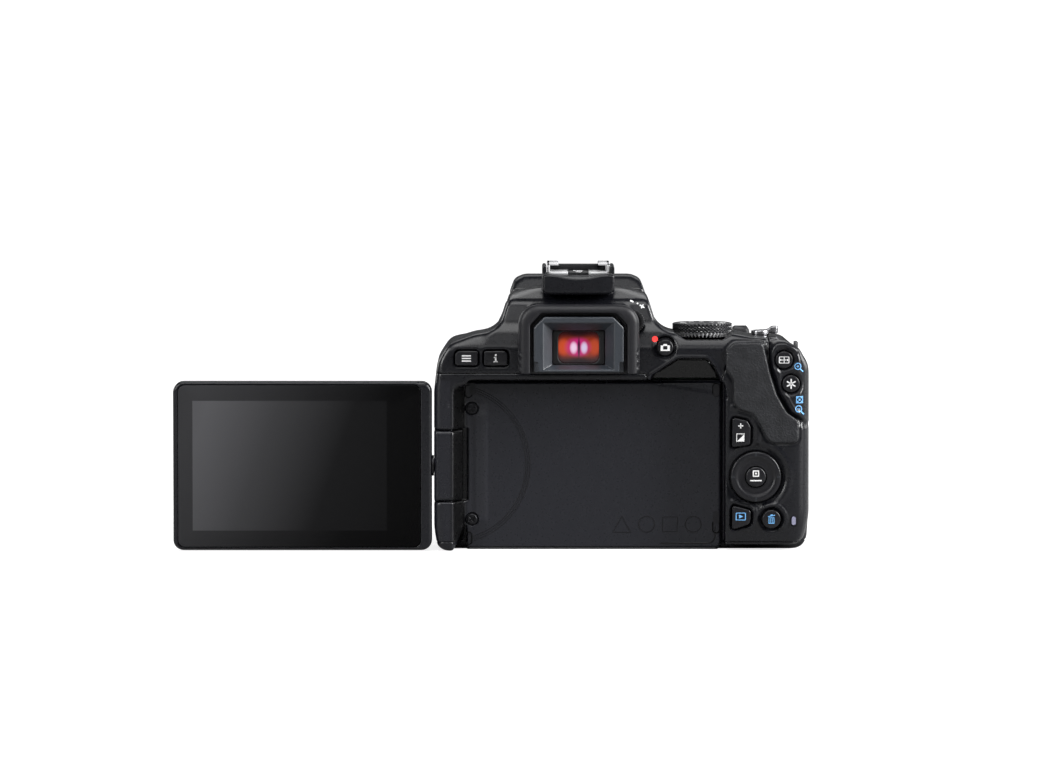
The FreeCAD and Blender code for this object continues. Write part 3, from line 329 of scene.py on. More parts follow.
SCALLOP = rounded([(30.3, 72.5), (31.6, 70.9, 0.6), (34.9, 68.9, 1.2), (47.0, 68.9, 1.2),
                   (50.3, 70.9, 0.6), (51.5, 72.5), (51.5, 90), (30.3, 90)], 5)
# Middles of round parts: in x and z on the front and back, in x and y on the top and base
MOUNT, KEYS = (0, 38), (57.8, 24.4)
RELEASE, FOCUS_LAMP, LOCK_PIN = (-39.7, 36), (34.5, 60.5), (-29.3, 38)
DIOPTRE, SCREW_X, SCREW_HEIGHTS = (17.6, 75), -34.8, (9.9, 46.2)
DIAL, SHUTTER, ISO, LEVER = (40.9, -6.0), (62, 23), (45.2, 10.8), (59.8, -9.5)
HINGE, BASE_SCREWS = (-42.3, -26.0), ((-41, -14), (-40, 9), (-14, -15.5), (14, -15.5), (45, 11))
# Buttons on the back: round ones by middle and radius, oblong ones by their left and right edges
ROUND_BUTTONS = {"live_view_button": (28.2, 66.6, 2.6), "focus_point_button": (66.9, 62.6, 2.8),
                 "lock_button": (69.2, 54.8, 2.8), "erase_button": (62.9, 10.6, 3.0)}
OBLONG_BUTTONS = {"menu_button": (-40.2, -32.8), "info_button": (-30.8, -23.1)}


def outer(x, y, z):
    """The closed form that the covers make together."""
    hull = soft_max(inside_of(PLAN, x, y), inside_of(FACE, x, z), 3.5)
    hull = soft_max(hull - BLEND_LOSS, inside_of(SIDE, y, z), 1.6) - 0.1
    prism = soft_max(inside_of(ROOF_FACE, x, z), inside_of(ROOF_SIDE, y, z), 1.8)
    form = soft_min(hull, prism, 5.0)
    boss = soft_max(disc(x, z, *MOUNT, 34), span(y, 5, 24.9), 1.5)
    return soft_min(form, boss, 4.0)


def dip(distance, depth, slope):
    """A hollow of one depth inside an outline, with a soft edge outside it."""
    return depth * (1.0 - step_up(distance, 0.0, slope))


def ridge(path, x, z, half, height):
    return height * (1.0 - step_up(along(path, x, z), half * 0.35, half * 1.6))


def arc(cx, cz, radius, start, end, count=12):
    angles = np.radians(np.linspace(start, end, count))
    return [(cx + radius * math.cos(a), cz + radius * math.sin(a)) for a in angles]


def bank(x):
    """0 on the flat of the pillar, 1 at the foot of the bank that falls from it into the recess."""
    run = np.clip((x + 41.4) / 4.3, 0.0, 1.0)
    return np.where(run < 0.25, 2.0 * run * run, run - 0.125) / 0.875


ERASE = ROUND_BUTTONS["erase_button"][:2]
RIDGES = [([(50.2, 47.2), (53.8, 46.8), (56.6, 45.5), (58.2, 43.2), (58.6, 40.0), (58.5, 36.0)], 0.8, 0.4),
          ([(50.2, 16.3), (55.2, 15.6), (57.4, 14.3), (57.9, 11.5), (57.3, 8.6), (55.4, 7.2)], 0.7, 0.35),
          (arc(*ERASE, 4.6, -35, 120), 0.8, 0.45), (arc(*KEYS, 10.6, -70, 60), 1.2, 0.3)]


def back_relief(x, z):
    """How far the back's skin is sunk (positive) or raised, in the plane that faces the user."""
    dips = [dip(disc(x, z, *KEYS, 8.9), 0.75, 2.6), dip(rect(x, z, 69.4, 71.0, 8.4, 11.6, 0.8), 0.25, 0.4)]
    dips += [dip(disc(x, z, cx, cz, radius + 0.5), 0.55, 1.2) for cx, cz, radius in ROUND_BUTTONS.values()]
    dips += [dip(rect(x, z, low - 0.2, high + 0.2, 60.55, 65.75, 1.2), 0.35, 0.8)
             for low, high in OBLONG_BUTTONS.values()]
    dips += [dip(inside_of(outline, x, z) - 0.35, 0.55, 0.6) for outline in (EXPOSURE, PLAYBACK)]
    sunk = functools.reduce(np.maximum, dips)
    # The raised ear on the right, with a rim and a valley round it
    ear = inside_of(EAR, x, z)
    raised = 0.75 * (1.0 - step_up(ear, -0.9, 0.5))
    raised = raised + 0.35 * (1.0 - step_up(np.abs(ear + 1.0), 0.3, 1.3))
    valley = 0.9 * (1.0 - step_up(np.abs(ear - 1.3), 0.4, 1.6)) * step_up(z, 39.0, 44.0)
    for path, half, height in RIDGES:
        raised = raised + ridge(path, x, z, half, height)
    # All of it fades towards the right side
    raised = raised * (1.0 - step_up(x, 71.5, 74.6))
    valley = valley * (1.0 - 0.6 * step_up(x, 73.5, 75.4))
    sunk = sunk * (1.0 - step_up(x, 72.2, 74.4))
    # The groove round the thumb pad, the pillar's bank, the curl at the lower right and the scoop
    sunk = sunk + 0.3 * (1.0 - step_up(np.abs(inside_of(PAD, x, z) - 0.3), 0.1, 0.6))
    sunk = sunk + 7.8 * bank(x) * (1.0 - step_up(z, 51.0, 55.0)) * (x < -36.8)
    sunk = sunk + 2.6 * np.clip((14.0 - z) / 14.0, 0, 1) ** 2 * (x > 46.0)
    scoop = inside_of(SCOOP, x, z)
    sunk = sunk + (1.0 - step_up(scoop, -0.7, 0.1)) * (5.0 + np.clip(63.0 - z, 0, 7) * 0.42)
    raised = raised + 0.25 * (1.0 - step_up(np.abs(scoop - 0.5), 0.2, 0.9)) * (z > 54)
    return sunk + valley - raised


def recess_cut(x, y, z):
    """The pocket for the folded screen and the notch for its arm; negative in the air."""
    left, right, top, floor = RECESS
    # A shallow ramp beside the arm, and a channel along the right and top walls
    rise = np.clip((x + 34.2) / 4.0, 0.0, 1.0)
    strip = 0.42 * (1.0 - rise * rise) * step_up(x, -36.6, -34.4) * (x < -30.2)
    strip = strip * (1.0 - step_up(np.abs(z - 27.5), 16.2, 18.4))
    channel = 1.6 * np.maximum(step_up(x, right - 1.35, right - 0.95), step_up(z, top - 1.3, top - 0.9))
    pocket = all_of(rect(x, z, left, right, -20, top, 2.6), y - floor - strip - channel)
    notch = all_of(rect(x, z, -60, left + 1, 16.0, 39.8), y + 19.6)
    return pocket, notch


def button_holes(x, y, z):
    """The holes that the buttons in the back move in, wider behind for their lips."""
    spots = [(disc(x, z, *place), 0.95) for place in ROUND_BUTTONS.values()]
    spots += [(rect(x, z, low, high, 60.8, 65.5, 1.1), 0.95) for low, high in OBLONG_BUTTONS.values()]
    spots += [(inside_of(outline, x, z), 1.1) for outline in (EXPOSURE, PLAYBACK)]
    holes = all_of(disc(x, z, *KEYS, 8.5), span(y, -40, -24))
    for spot, lip in spots:
        holes = any_of(holes, all_of(spot - 0.3, span(y, -40, -24)), all_of(spot - lip, span(y, -28.4, -24)))
    return any_of(holes, all_of(disc(x, z, *KEYS, 9.2), span(y, -28.1, -24)))


def shell(x, y, z):
    """The covers' wall: the outer form with its relief, hollowed, with the recess let in."""
    form = outer(x, y, z)
    near_back = 1.0 - step_up(y, *NEAR_BACK)
    skin = form + back_relief(x, z) * near_back
    pocket, notch = recess_cut(x, y, z)
    solid = soft_max(soft_max(skin, -pocket, 0.8), -notch, 0.5)
    return without(solid, all_of(skin + WALL, WALL - any_of(pocket, notch)))


def top_zone(x, y, z):
    """Negative where the top cover is."""
    back = all_of(inside_of(TOP_EDGE, x, z), y - 12.0)
    brow = all_of(71.0 - z, 12.0 - y, x - 31.0)
    grip = all_of(58.5 - z, 12.0 - y, 44.0 - x)
    return any_of(back, brow, grip)


def base_zone(x, y, z):
    """Negative where the base cover is: lower in the recess, where the back runs down to its edge."""
    sole = z - SPLIT_BASE
    return without(sole, all_of(0.7 - z, span(x, *RECESS[:2]), y + 19.9))


# ---------------------------------------------------------------- looks

class Graph:
    """Adds nodes to a material or world, and wires them, in one line each."""

    def __init__(self, owner):
        self.nodes, self.links = owner.node_tree.nodes, owner.node_tree.links

    def feed(self, node, inputs):
        """Sets sockets: a value is set on the socket, an output is linked to it."""
        for socket, value in inputs.items():
            if isinstance(value, bpy.types.NodeSocket):
                self.links.new(value, node.inputs[socket])
            else:
                node.inputs[socket].default_value = value

    def add(self, kind, inputs, **settings):
        node = self.nodes.new("ShaderNode" + kind)
        for setting, value in settings.items():
            setattr(node, setting, value)
        self.feed(node, inputs)
        return node

    def math(self, operation, *values):
        return self.add("Math", dict(enumerate(values)), operation=operation).outputs[0]

    def mixed(self, share, first, second):
        """One colour to another by a share."""
        inputs = {"Factor": share, "A": first, "B": second}
        return self.add("Mix", inputs, data_type="RGBA").outputs["Result"]

    def ranged(self, value, low, high, to_low=0.0, to_high=1.0, shape="LINEAR"):
        """A value from low to high, laid out from to_low to to_high."""
        inputs = {"From Min": low, "From Max": high, "To Min": to_low, "To Max": to_high, "Value": value}
        return self.add("MapRange", inputs, interpolation_type=shape).outputs["Result"]

    def place(self):
        return self.nodes["Texture Coordinate"].outputs["Object"]

    def across(self):
        """The object position's X, Y and Z, by name."""
        return self.add("SeparateXYZ", {"Vector": self.place()}).outputs


def look(name, colour, rough, bump=(), fleck=0.0, fleck_size=0.0008, metal=0.0, specular=0.35, worn=0.0):
    """A procedural material; bump holds (feature size in metres, depth in metres) pairs."""
    material = bpy.data.materials.new(name)
    material.use_nodes = True
    graph = Graph(material)
    shader = graph.nodes["Principled BSDF"]
    graph.feed(shader, {"Metallic": metal, "Specular IOR Level": specular, "IOR": 1.45})
    graph.add("TexCoord", {})
    cloud = graph.add("TexNoise", {"Scale": 1.0 / fleck_size, "Detail": 3.0, "Vector": graph.place()})
    shades = graph.add("ValToRGB", {"Fac": cloud.outputs["Fac"]})
    for stop, where, share in zip(shades.color_ramp.elements, (0.3, 0.7), (1.0 - fleck, 1.0 + fleck)):
        stop.position = where
        stop.color = (*[min(1.0, max(0.0, c * share)) for c in colour], 1)
    tone = shades.outputs["Color"]
    if worn > 0.0:
        corners = graph.add("NewGeometry", {}).outputs["Pointiness"]
        rubbed = (*[min(1.0, c * 2.2 + 0.01) for c in colour], 1)
        tone = graph.mixed(graph.ranged(corners, 0.52, 0.62, 0.0, worn), tone, rubbed)
    gloss = graph.ranged(cloud.outputs["Fac"], 0.0, 1.0, max(0.0, rough - 0.06), min(1.0, rough + 0.06))
    graph.feed(shader, {"Base Color": tone, "Roughness": gloss})
    relief = {}
    for size, depth in bump:
        grain = graph.add("TexNoise", {"Scale": 1.0 / size, "Detail": 2.0, "Vector": graph.place()})
        inputs = {"Strength": 1.0, "Distance": depth, "Height": grain.outputs["Fac"], **relief}
        relief = {"Normal": graph.add("Bump", inputs).outputs["Normal"]}
    graph.feed(shader, relief)
    return material


def leather(name, colour, rough, cell, depth, specular):
    """A grained rubber: rounded cells with creases between them."""
    material = look(name, colour, rough, bump=(), fleck=0.25, fleck_size=0.004, specular=specular)
    graph = Graph(material)
    bend = graph.add("TexNoise", {"Scale": 0.6 / cell, "Detail": 3.0, "Vector": graph.place()})
    shift = graph.add("VectorMath", {0: bend.outputs["Color"], 1: (cell * 1.4,) * 3, 2: graph.place()},
                      operation="MULTIPLY_ADD")
    cells = graph.add("TexVoronoi", {"Smoothness": 0.6, "Scale": 1.0 / cell,
                                     "Vector": shift.outputs["Vector"]}, feature="SMOOTH_F1")
    relief = graph.add("Bump", {"Strength": 1.0, "Distance": depth, "Height": cells.outputs["Distance"]},
                       invert=True)
    graph.feed(graph.nodes["Principled BSDF"], {"Normal": relief.outputs["Normal"]})
    return material


PLASTIC_TONE = (0.0036, 0.0038, 0.0054)
PLASTIC_FINISH = (0.29, [(0.00035, 0.000006)], 0.10, 0.0008, 0.0, 0.42, 0.06)
LOOKS = {
    "body_plastic": look("body_plastic_look", PLASTIC_TONE, *PLASTIC_FINISH),
    "button_plastic": look("button_plastic_look", (0.0065, 0.0065, 0.0080), 0.3,
                           [(0.0004, 0.000008)], 0.1, specular=0.35),
    "soft_rubber": look("soft_rubber_look", (0.0090, 0.0090, 0.0108), 0.44, [(0.0003, 0.00001)], 0.12,
                        specular=0.3),
    "grip_rubber": leather("grip_rubber_look", (0.0110, 0.0114, 0.0132), 0.42, 0.0006, 0.00016, 0.4),
    "slate_plastic": look("slate_plastic_look", (0.017, 0.021, 0.027), 0.4, [(0.0003, 0.000012)],
                          0.08, specular=0.7),
    "dial_metal": look("dial_metal_look", (0.014, 0.014, 0.016), 0.34, [(0.0003, 0.000006)], 0.1,
                       specular=0.6),
    "bright_metal": look("bright_metal_look", (0.62, 0.62, 0.63), 0.24, [(0.0006, 0.000004)], 0.06,
                         metal=1.0),
    "shoe_steel": look("shoe_steel_look", (0.62, 0.62, 0.63), 0.24, [(0.0008, 0.000003)], 0.05,
                       metal=0.45, specular=0.8),
    "dark_steel": look("dark_steel_look", (0.02, 0.02, 0.022), 0.35, [(0.0005, 0.000004)], 0.1,
                       metal=0.8),
    "pin_steel": look("pin_steel_look", (0.03, 0.03, 0.032), 0.3, [(0.0006, 0.000004)], 0.1,
                      metal=1.0),
    "dark_plastic": look("dark_plastic_look", (0.006, 0.006, 0.007), 0.45, [(0.0004, 0.00001)], 0.1),
    "inner_plastic": look("inner_plastic_look", (0.004, 0.004, 0.004), 0.8, [(0.0006, 0.00004)], 0.1,
                          specular=0.15),
    "mirror_glass": look("mirror_glass_look", (0.75, 0.77, 0.8), 0.05, (), 0.02, metal=1.0),
    "clear_glass": look("clear_glass_look", (0.85, 0.87, 0.88), 0.3, (), 0.03, specular=0.5),
    "eyepiece_glass": look("eyepiece_glass_look", (0.01, 0.01, 0.012), 0.08, (), 0.1),
    "screen_glass": look("screen_glass_look", (0.005, 0.005, 0.006), 0.1, (), 0.1),
    "flash_lens": look("flash_lens_look", (0.75, 0.76, 0.76), 0.25, [(0.0009, 0.00008)], 0.04,
                       specular=0.6),
    "lamp_lens": look("lamp_lens_look", (0.20, 0.20, 0.28), 0.25, [(0.0005, 0.00002)], 0.12,
                      specular=0.5),
    "blade_metal": look("blade_metal_look", (0.03, 0.03, 0.032), 0.5, [(0.0006, 0.000006)], 0.1,
                        metal=0.6),
    "sensor_glass": look("sensor_glass_look", (0.03, 0.06, 0.07), 0.1, (), 0.2, specular=0.6),
    "board": look("board_look", (0.01, 0.05, 0.02), 0.5, [(0.0008, 0.00003)], 0.3),
    "frame_alloy": look("frame_alloy_look", (0.35, 0.35, 0.36), 0.4, [(0.0008, 0.00001)], 0.1,
                        metal=1.0),
    "battery_case": look("battery_case_look", (0.02, 0.02, 0.022), 0.5, [(0.0005, 0.00002)], 0.1),
}
WHITE_INK = look("white_ink_look", (0.62, 0.62, 0.62), 0.5, [(0.0003, 0.000006)], 0.03, specular=0.2)
BLUE_INK = look("blue_ink_look", (0.13, 0.33, 0.60), 0.5, [(0.0003, 0.000006)], 0.05, specular=0.2)
RED_INK = look("red_ink_look", (0.95, 0.045, 0.04), 0.45, [(0.0003, 0.000006)], 0.05, specular=0.2)


def finish_piece(thing, body, slot, nodes=(), material=None):
    """Rides a new piece on its body, gives it a look, and hides the nodes it stands for."""
    thing.data.materials.clear()
    thing.data.materials.append(material or LOOKS[slot])
    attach(thing, body)
    if nodes:
        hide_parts(*nodes)
    return thing


# ---------------------------------------------------------------- covers

def back_axes(x_low, x_high, y_low, y_high, z_low, z_high, step):
    fine = np.arange(y_low, -19.2, 0.3 * COARSE)
    rest = np.arange(-19.2, y_high + 0.01, 0.8 * COARSE)
    return [ticks(x_low, x_high, step * COARSE), np.concatenate([fine, rest]),
            ticks(z_low, z_high, step * COARSE)]


def side_pockets(x, y, z):
    """Where the socket flaps and the coupler's flap lie in the sides."""
    left = all_of(x + 45.85, span(y, -6.3, 9.1))
    lower, upper = all_of(left, span(z, 13.75, 34.25)), all_of(left, span(z, 36.75, 52.25))
    right = all_of(74.1 - x, span(y, -22.3, -12.3), span(z, 18.75, 31.25))
    return any_of(lower, upper, right)


def rear_field(x, y, z):
    solid = all_of(shell(x, y, z), 0.05 - top_zone(x, y, z), 0.05 - base_zone(x, y, z), y - SPLIT_REAR)
    seats = [all_of(disc(x, z, SCREW_X, sz, 2.1), span(y, -23, -20.9)) for sz in SCREW_HEIGHTS]
    return without(solid, button_holes(x, y, z), side_pockets(x, y, z), *seats)


def painted_zone_look(name, zones):
    """The covers' plastic with zones of painted light and painted shade laid over it, each (low corner, high
    corner, tone).
    """
    material = look(name, PLASTIC_TONE, *PLASTIC_FINISH)
    graph = Graph(material)
    shader = graph.nodes["Principled BSDF"]
    across = graph.across()
    tone = shader.inputs["Base Color"].links[0].from_socket
    for low, high, colour in zones:
        share = 1.0
        for axis, a, b in zip("XYZ", low, high):
            for start, end in ((a, a + ZONE_FADE), (b, b - ZONE_FADE)):
                share = graph.ranged(across[axis], start * MM, end * MM, 0.0, share)
        tone = graph.mixed(share, tone, (*colour, 1))
    graph.feed(shader, {"Base Color": tone})
    return material


ZONE_FADE = 0.6
# Two tones laid over the plastic: a lighter one as painted light, a near-black one as painted shade
PAINTED_LIGHT_TONE, PAINTED_SHADE_TONE = (0.0092, 0.0096, 0.0128), (0.0007, 0.0007, 0.0008)
# The pillar beside the recess: its flat painted lighter as painted light, its bank painted near black as
# painted shade
PILLAR_PAINTED_LIGHT_AND_SHADE = [((-60, -40, -5), (-41.5, -10, 56), (0.0080, 0.0083, 0.0112)),
                ((-41.6, -29.9, -5), (-36.8, -20, 54), PAINTED_SHADE_TONE)]
# The scoop above the recess painted near black as painted shade
SCOOP_PAINTED_SHADE = [((22, -29.0, 55.2), (47.5, -15, 64.5), PAINTED_SHADE_TONE)]
# The recess floor painted lighter as painted light, and a lighter strip beside the arm as a painted highlight
RECESS_PAINTED_LIGHT = [((-36.9, -24, -5), (48, -15, 56), PAINTED_LIGHT_TONE),
                ((-33.7, -24, 9.3), (-29.2, -15, 48.2), (0.0175, 0.0180, 0.0225))]
BACK_LOOK = painted_zone_look("back_cover_look", RECESS_PAINTED_LIGHT + PILLAR_PAINTED_LIGHT_AND_SHADE + SCOOP_PAINTED_SHADE)
TOP_LOOK = painted_zone_look("top_cover_look", SCOOP_PAINTED_SHADE)
ARM_LOOK = painted_zone_look("arm_cover_look", PILLAR_PAINTED_LIGHT_AND_SHADE)
finish_piece(grown("rear_cover_skin", rear_field, axes=back_axes(-48.3, 76.6, -32.1, -9.2, 0.2, 70.2, 0.37)),
             BODY, "body_plastic", ["rear_cover"], BACK_LOOK)


def top_openings(x, y, z):
    """Wells and holes in the top cover; negative in the air."""
    dial = all_of(disc(x, y, *DIAL, 10.4), 68.6 - z)
    dial_view = all_of(inside_of(SCALLOP, x, z), span(y, -40, -6))
    wheel = all_of(rect(y, z, 2.2, 18.8, 50, 90), span(x, 50.9, 57.3), 53 - z)
    shutter = all_of(disc(x, y, *SHUTTER, 5.3), 58 - z)
    iso = all_of(disc(x, y, *ISO, 2.5), 62 - z)
    lever = all_of(disc(x, y, *LEVER, 1.6), 60 - z)
    knob = all_of(disc(x, z, *DIOPTRE, 4.25), span(y, -40, -26.6))
    stem = all_of(disc(x, z, *DIOPTRE, 1.4), span(y, -40, -20))
    window = all_of(rect(x, z, -8.9, 8.9, 60.8, 72.7, 1.6), span(y, -45, -20))
    return any_of(dial, dial_view, wheel, shutter, iso, lever, knob, stem, window)


def top_field(x, y, z):
    solid = shell(x, y, z)
    block = all_of(rect(x, z, -17.8, 17.8, 57.9, 80, 4), span(y, -32.98, -24))
    solid = soft_min(solid, block, 1.2)
    hump_face = rect(x, z, -11.8, 11.8, 83.6, 95, 2.4)
    brow_line = 88.6 + 0.02 * x * x
    rear_face = -26.6 + 0.005 * x * x + 0.8 * np.maximum(z - brow_line, 0.0)
    hump = all_of(soft_max(hump_face, all_of(rear_face - y, y + 0.8), 1.0), z - 89.9)
    cheeks = all_of(rect(np.abs(x), z, 10.4, 11.8, 84, 93.0, 0.7), span(y, -22.6, -2.0))
    solid = soft_min(solid, any_of(hump, cheeks), 0.6)
    return without(all_of(solid, top_zone(x, y, z) + 0.05), top_openings(x, y, z), button_holes(x, y, z))


TOP_Y = [np.arange(-33.4, -20, 0.35 * COARSE), np.arange(-20, 32.6, 0.55 * COARSE)]
finish_piece(grown("top_cover_skin", top_field,
                   axes=[ticks(-48.3, 76.6, 0.38 * COARSE), np.concatenate(TOP_Y),
                         ticks(55.1, 93.6, 0.36 * COARSE)]),
             BODY, "body_plastic", ["top_cover"], TOP_LOOK)


def grip_zone(x, y, z):
    """Negative where the grip's grained skin lies."""
    front = all_of(rect(x, z, 44.5, 90, 8, 57, 4), 8 - y)
    around = all_of(rect(y, z, -4, 60, 8, 57, 4), 60 - x)
    return any_of(front, around)


def front_openings(x, y, z):
    throat = disc(x, z, *MOUNT, 27.6)
    ring = all_of(disc(x, z, *MOUNT, 31.2), 23.4 - y)
    wells = [all_of(disc(x, z, *middle, radius), 10 - y)
             for middle, radius in ((RELEASE, 4.25), (FOCUS_LAMP, 3.4), (LOCK_PIN, 1.4))]
    return any_of(throat, ring, *wells)


def front_field(x, y, z):
    form = outer(x, y, z)
    solid = without(form, form + WALL)
    collar = soft_max(disc(x, z, *RELEASE, 6.4), span(y, 10, 18.0), 2.5)
    solid = soft_min(solid, all_of(collar, 12.0 - y), 2.5)
    solid = all_of(solid, 0.05 - top_zone(x, y, z), SPLIT_BASE + 0.05 - z, SPLIT_REAR + 0.08 - y)
    skin_bed = all_of(grip_zone(x, y, z) - 0.15, -(form + 0.95))
    return without(solid, front_openings(x, y, z), side_pockets(x, y, z), skin_bed)


finish_piece(grown("front_cover_skin", front_field, (-48.5, -10.6, 2.4), (76.6, 33.0, 81), 0.6),
             BODY, "body_plastic", ["front_cover"])


def grip_field(x, y, z):
    form = outer(x, y, z)
    swell = 0.35 * step_up(-grip_zone(x, y, z), 0.0, 1.5)
    return all_of(form - swell, -(form + 0.9), grip_zone(x, y, z))


finish_piece(grown("grip_skin_wrap", grip_field, (43.5, -5, 7), (77, 33.2, 58), 0.5),
             BODY, "grip_rubber", ["grip_skin"])


def base_field(x, y, z):
    solid = all_of(shell(x, y, z), base_zone(x, y, z))
    door = all_of(rect(x, y, 49.4, 71.5, -14.3, 22.8), z - 4)
    heads = [all_of(disc(x, y, sx, sy, 1.75), z - 1.0) for sx, sy in BASE_SCREWS]
    return without(solid, door, disc(x, y, 0, 0, 6.1), *heads)


finish_piece(grown("base_cover_skin", base_field, (-48.3, -31.2, -0.6), (76.6, 33.0, 3.4),
                   (0.5, 0.5, 0.3)), BODY, "body_plastic", ["base_cover"])


# ---------------------------------------------------------------- plates, turned pieces and marks

def slab(name, outline, y_low, y_high, round_edge=0.3, dome=0.0):
    """A plate facing the user: an outline in x and z, its rear edge rounded, its face domed."""
    count = len(outline)
    flat = np.array(outline, float)
    area = np.sum(flat[:, 0] * np.roll(flat[:, 1], -1) - np.roll(flat[:, 0], -1) * flat[:, 1])
    if area > 0:
        flat = flat[::-1]
    towards = np.roll(flat, -1, 0) - np.roll(flat, 1, 0)
    inward = np.stack([towards[:, 1], -towards[:, 0]], 1)
    inward /= np.maximum(np.linalg.norm(inward, axis=1), 1e-9)[:, None]
    middle = flat.mean(0)
    rings = [(y_high, 0.0, 1.0), (y_low + round_edge, 0.0, 1.0)]
    for k in range(1, 5):
        turn = k / 4 * math.pi / 2
        rings.append((y_low + round_edge * (1 - math.sin(turn)), round_edge * (1 - math.cos(turn)), 1.0))
    rings += [(y_low, round_edge, share) for share in (0.75, 0.5, 0.25)]
    points, faces = [], []
    for y, inset, share in rings:
        ring = flat + inward * inset
        ring = middle + (ring - middle) * share
        rise = dome * (1 - share * share)
        points += [(u, y - rise, v) for u, v in ring]
    for r in range(len(rings) - 1):
        faces += band(r * count, (r + 1) * count, count)
    points.append((middle[0], y_low - dome, middle[1]))
    last = (len(rings) - 1) * count
    tip = [(last + k, last + (k + 1) % count, len(points) - 1) for k in range(count)]
    return polygons(name, points, faces + tip + [tuple(reversed(range(count)))])


def polygons(name, points, faces, smooth_angle=40.0):
    """A mesh of mixed faces in millimetres, smooth below an angle, its faces turned outward."""
    mesh = bpy.data.meshes.new(name)
    mesh.from_pydata([tuple(c * MM for c in p) for p in points], [], faces)
    work = bmesh.new()
    work.from_mesh(mesh)
    bmesh.ops.recalc_face_normals(work, faces=work.faces)
    work.to_mesh(mesh)
    work.free()
    mesh.polygons.foreach_set("use_smooth", np.ones(len(mesh.polygons), bool))
    mesh.set_sharp_from_angle(angle=math.radians(smooth_angle))
    return placed(name, mesh)


def circle(cx, cz, radius, count=48):
    return [(cx + radius * math.cos(2 * math.pi * k / count), cz + radius * math.sin(2 * math.pi * k / count))
            for k in range(count)]


def turned(name, profile, centre, axis, count=72, wobble=None):
    """A turned piece: profile holds (radius, height) pairs along +axis from the centre."""
    points, faces = [], []
    for step, (radius, height) in enumerate(profile):
        for k in range(count):
            angle = 2 * math.pi * k / count
            grow = wobble(angle, step) if wobble else 0.0
            a, b = (radius + grow) * math.cos(angle), (radius + grow) * math.sin(angle)
            spot = {"x": (height, a, b), "y": (a, height, b), "z": (a, b, height)}[axis]
            points.append(tuple(c + s for c, s in zip(centre, spot)))
    for step in range(len(profile) - 1):
        faces += band(step * count, (step + 1) * count, count)
    faces.append(tuple(reversed(range(count))))
    faces.append(tuple(range((len(profile) - 1) * count, len(profile) * count)))
    return polygons(name, points, faces)


def lump(name, boxes, slot, body, nodes=(), round_edge=0.25, material=None):
    """One piece from several edge-rounded blocks, each given as two corners."""
    mesh = bpy.data.meshes.new(name)
    work = bmesh.new()
    for low, high in boxes:
        made = bmesh.ops.create_cube(work, size=1.0)["verts"]
        for vertex in made:
            vertex.co = Vector([((a + b) / 2 + vertex.co[n] * (b - a)) * MM
                                for n, (a, b) in enumerate(zip(low, high))])
    bmesh.ops.bevel(work, geom=list(work.edges), offset=round_edge * MM, segments=2, profile=0.5,
                    affect="EDGES")
    work.to_mesh(mesh)
    work.free()
    mesh.set_sharp_from_angle(angle=math.radians(50))
    return finish_piece(placed(name, mesh), body, slot, nodes, material)


def ring_of(outline, width):
    """A closed band inside an outline, as quads given by pairs of points."""
    flat = np.array(outline, float)
    middle = flat.mean(0)
    reach = np.linalg.norm(flat - middle, axis=1)[:, None]
    inner = middle + (flat - middle) * (reach - width) / reach
    count = len(flat)
    return [[tuple(flat[k]), tuple(flat[(k + 1) % count]), tuple(inner[(k + 1) % count]),
             tuple(inner[k])] for k in range(count)]


def stroke(path, width):
    """Quads along an open path."""
    quads = []
    for (au, av), (bu, bv) in zip(path, path[1:]):
        length = math.hypot(bu - au, bv - av)
        nu, nv = -(bv - av) / length * width / 2, (bu - au) / length * width / 2
        quads.append([(au + nu, av + nv), (bu + nu, bv + nv), (bu - nu, bv - nv), (au - nu, av - nv)])
    return quads


def block_of(u_low, u_high, v_low, v_high):
    return [[(u_low, v_low), (u_high, v_low), (u_high, v_high), (u_low, v_high)]]


INK_LIFT, INK_THICK = 0.05, 0.2


def inked(name, shapes, height_of, ink, body, slot, facing="back"):
    """Thin printed marks: flat shapes laid on a surface, each a closed thin plate.

    height_of(u, v) gives the surface; facing says which way it looks."""
    points, faces = [], []
    for shape in shapes:
        start = len(points)
        count = len(shape)
        shape = list(shape) + [tuple(np.mean(np.array(shape, float), 0))]
        heights = [height_of(u, v) for u, v in shape]
        for away in (INK_LIFT, INK_LIFT - INK_THICK):
            for (u, v), h in zip(shape, heights):
                points.append((u, h - away, v) if facing == "back" else (u, v, h + away))
        under = start + count + 1
        for k in range(count):
            n = (k + 1) % count
            faces += [(start + k, start + n, start + count), (under + n, under + k, under + count),
                      (start + k, start + n, under + n, under + k)]
    thing = polygons(name, points, faces, 20.0)
    return finish_piece(thing, body, slot, (), ink)


def skin_depth(u, v):
    """Where the back's surface is, at one place in the plane that faces the user."""
    y = np.arange(-33, -18, 0.02)
    x, z = np.full((1,), u), np.full((1,), v)
    field = outer(x, y, z) + back_relief(x, z) * (1.0 - step_up(y, *NEAR_BACK))
    return float(y[np.argmax(field < 0)])


def level(y):
    return lambda u, v: y


def diced(shapes, size):
    """Four-cornered shapes cut into small ones, so that they follow a curved surface."""
    small = []
    for shape in shapes:
        if len(shape) != 4:
            small.append(shape)
            continue
        a, b, c, d = (np.array(corner, float) for corner in shape)
        across = max(1, int(math.ceil(max(np.linalg.norm(b - a), np.linalg.norm(c - d)) / size)))
        up = max(1, int(math.ceil(max(np.linalg.norm(d - a), np.linalg.norm(c - b)) / size)))

        def spot(i, j):
            p, q = i / across, j / up
            return tuple((a * (1 - p) + b * p) * (1 - q) + (d * (1 - p) + c * p) * q)
        small += [[spot(i, j), spot(i + 1, j), spot(i + 1, j + 1), spot(i, j + 1)]
                  for i in range(across) for j in range(up)]
    return small


def moved(shapes, du, dv, scale=1.0):
    return [[(u * scale + du, v * scale + dv) for u, v in shape] for shape in shapes]


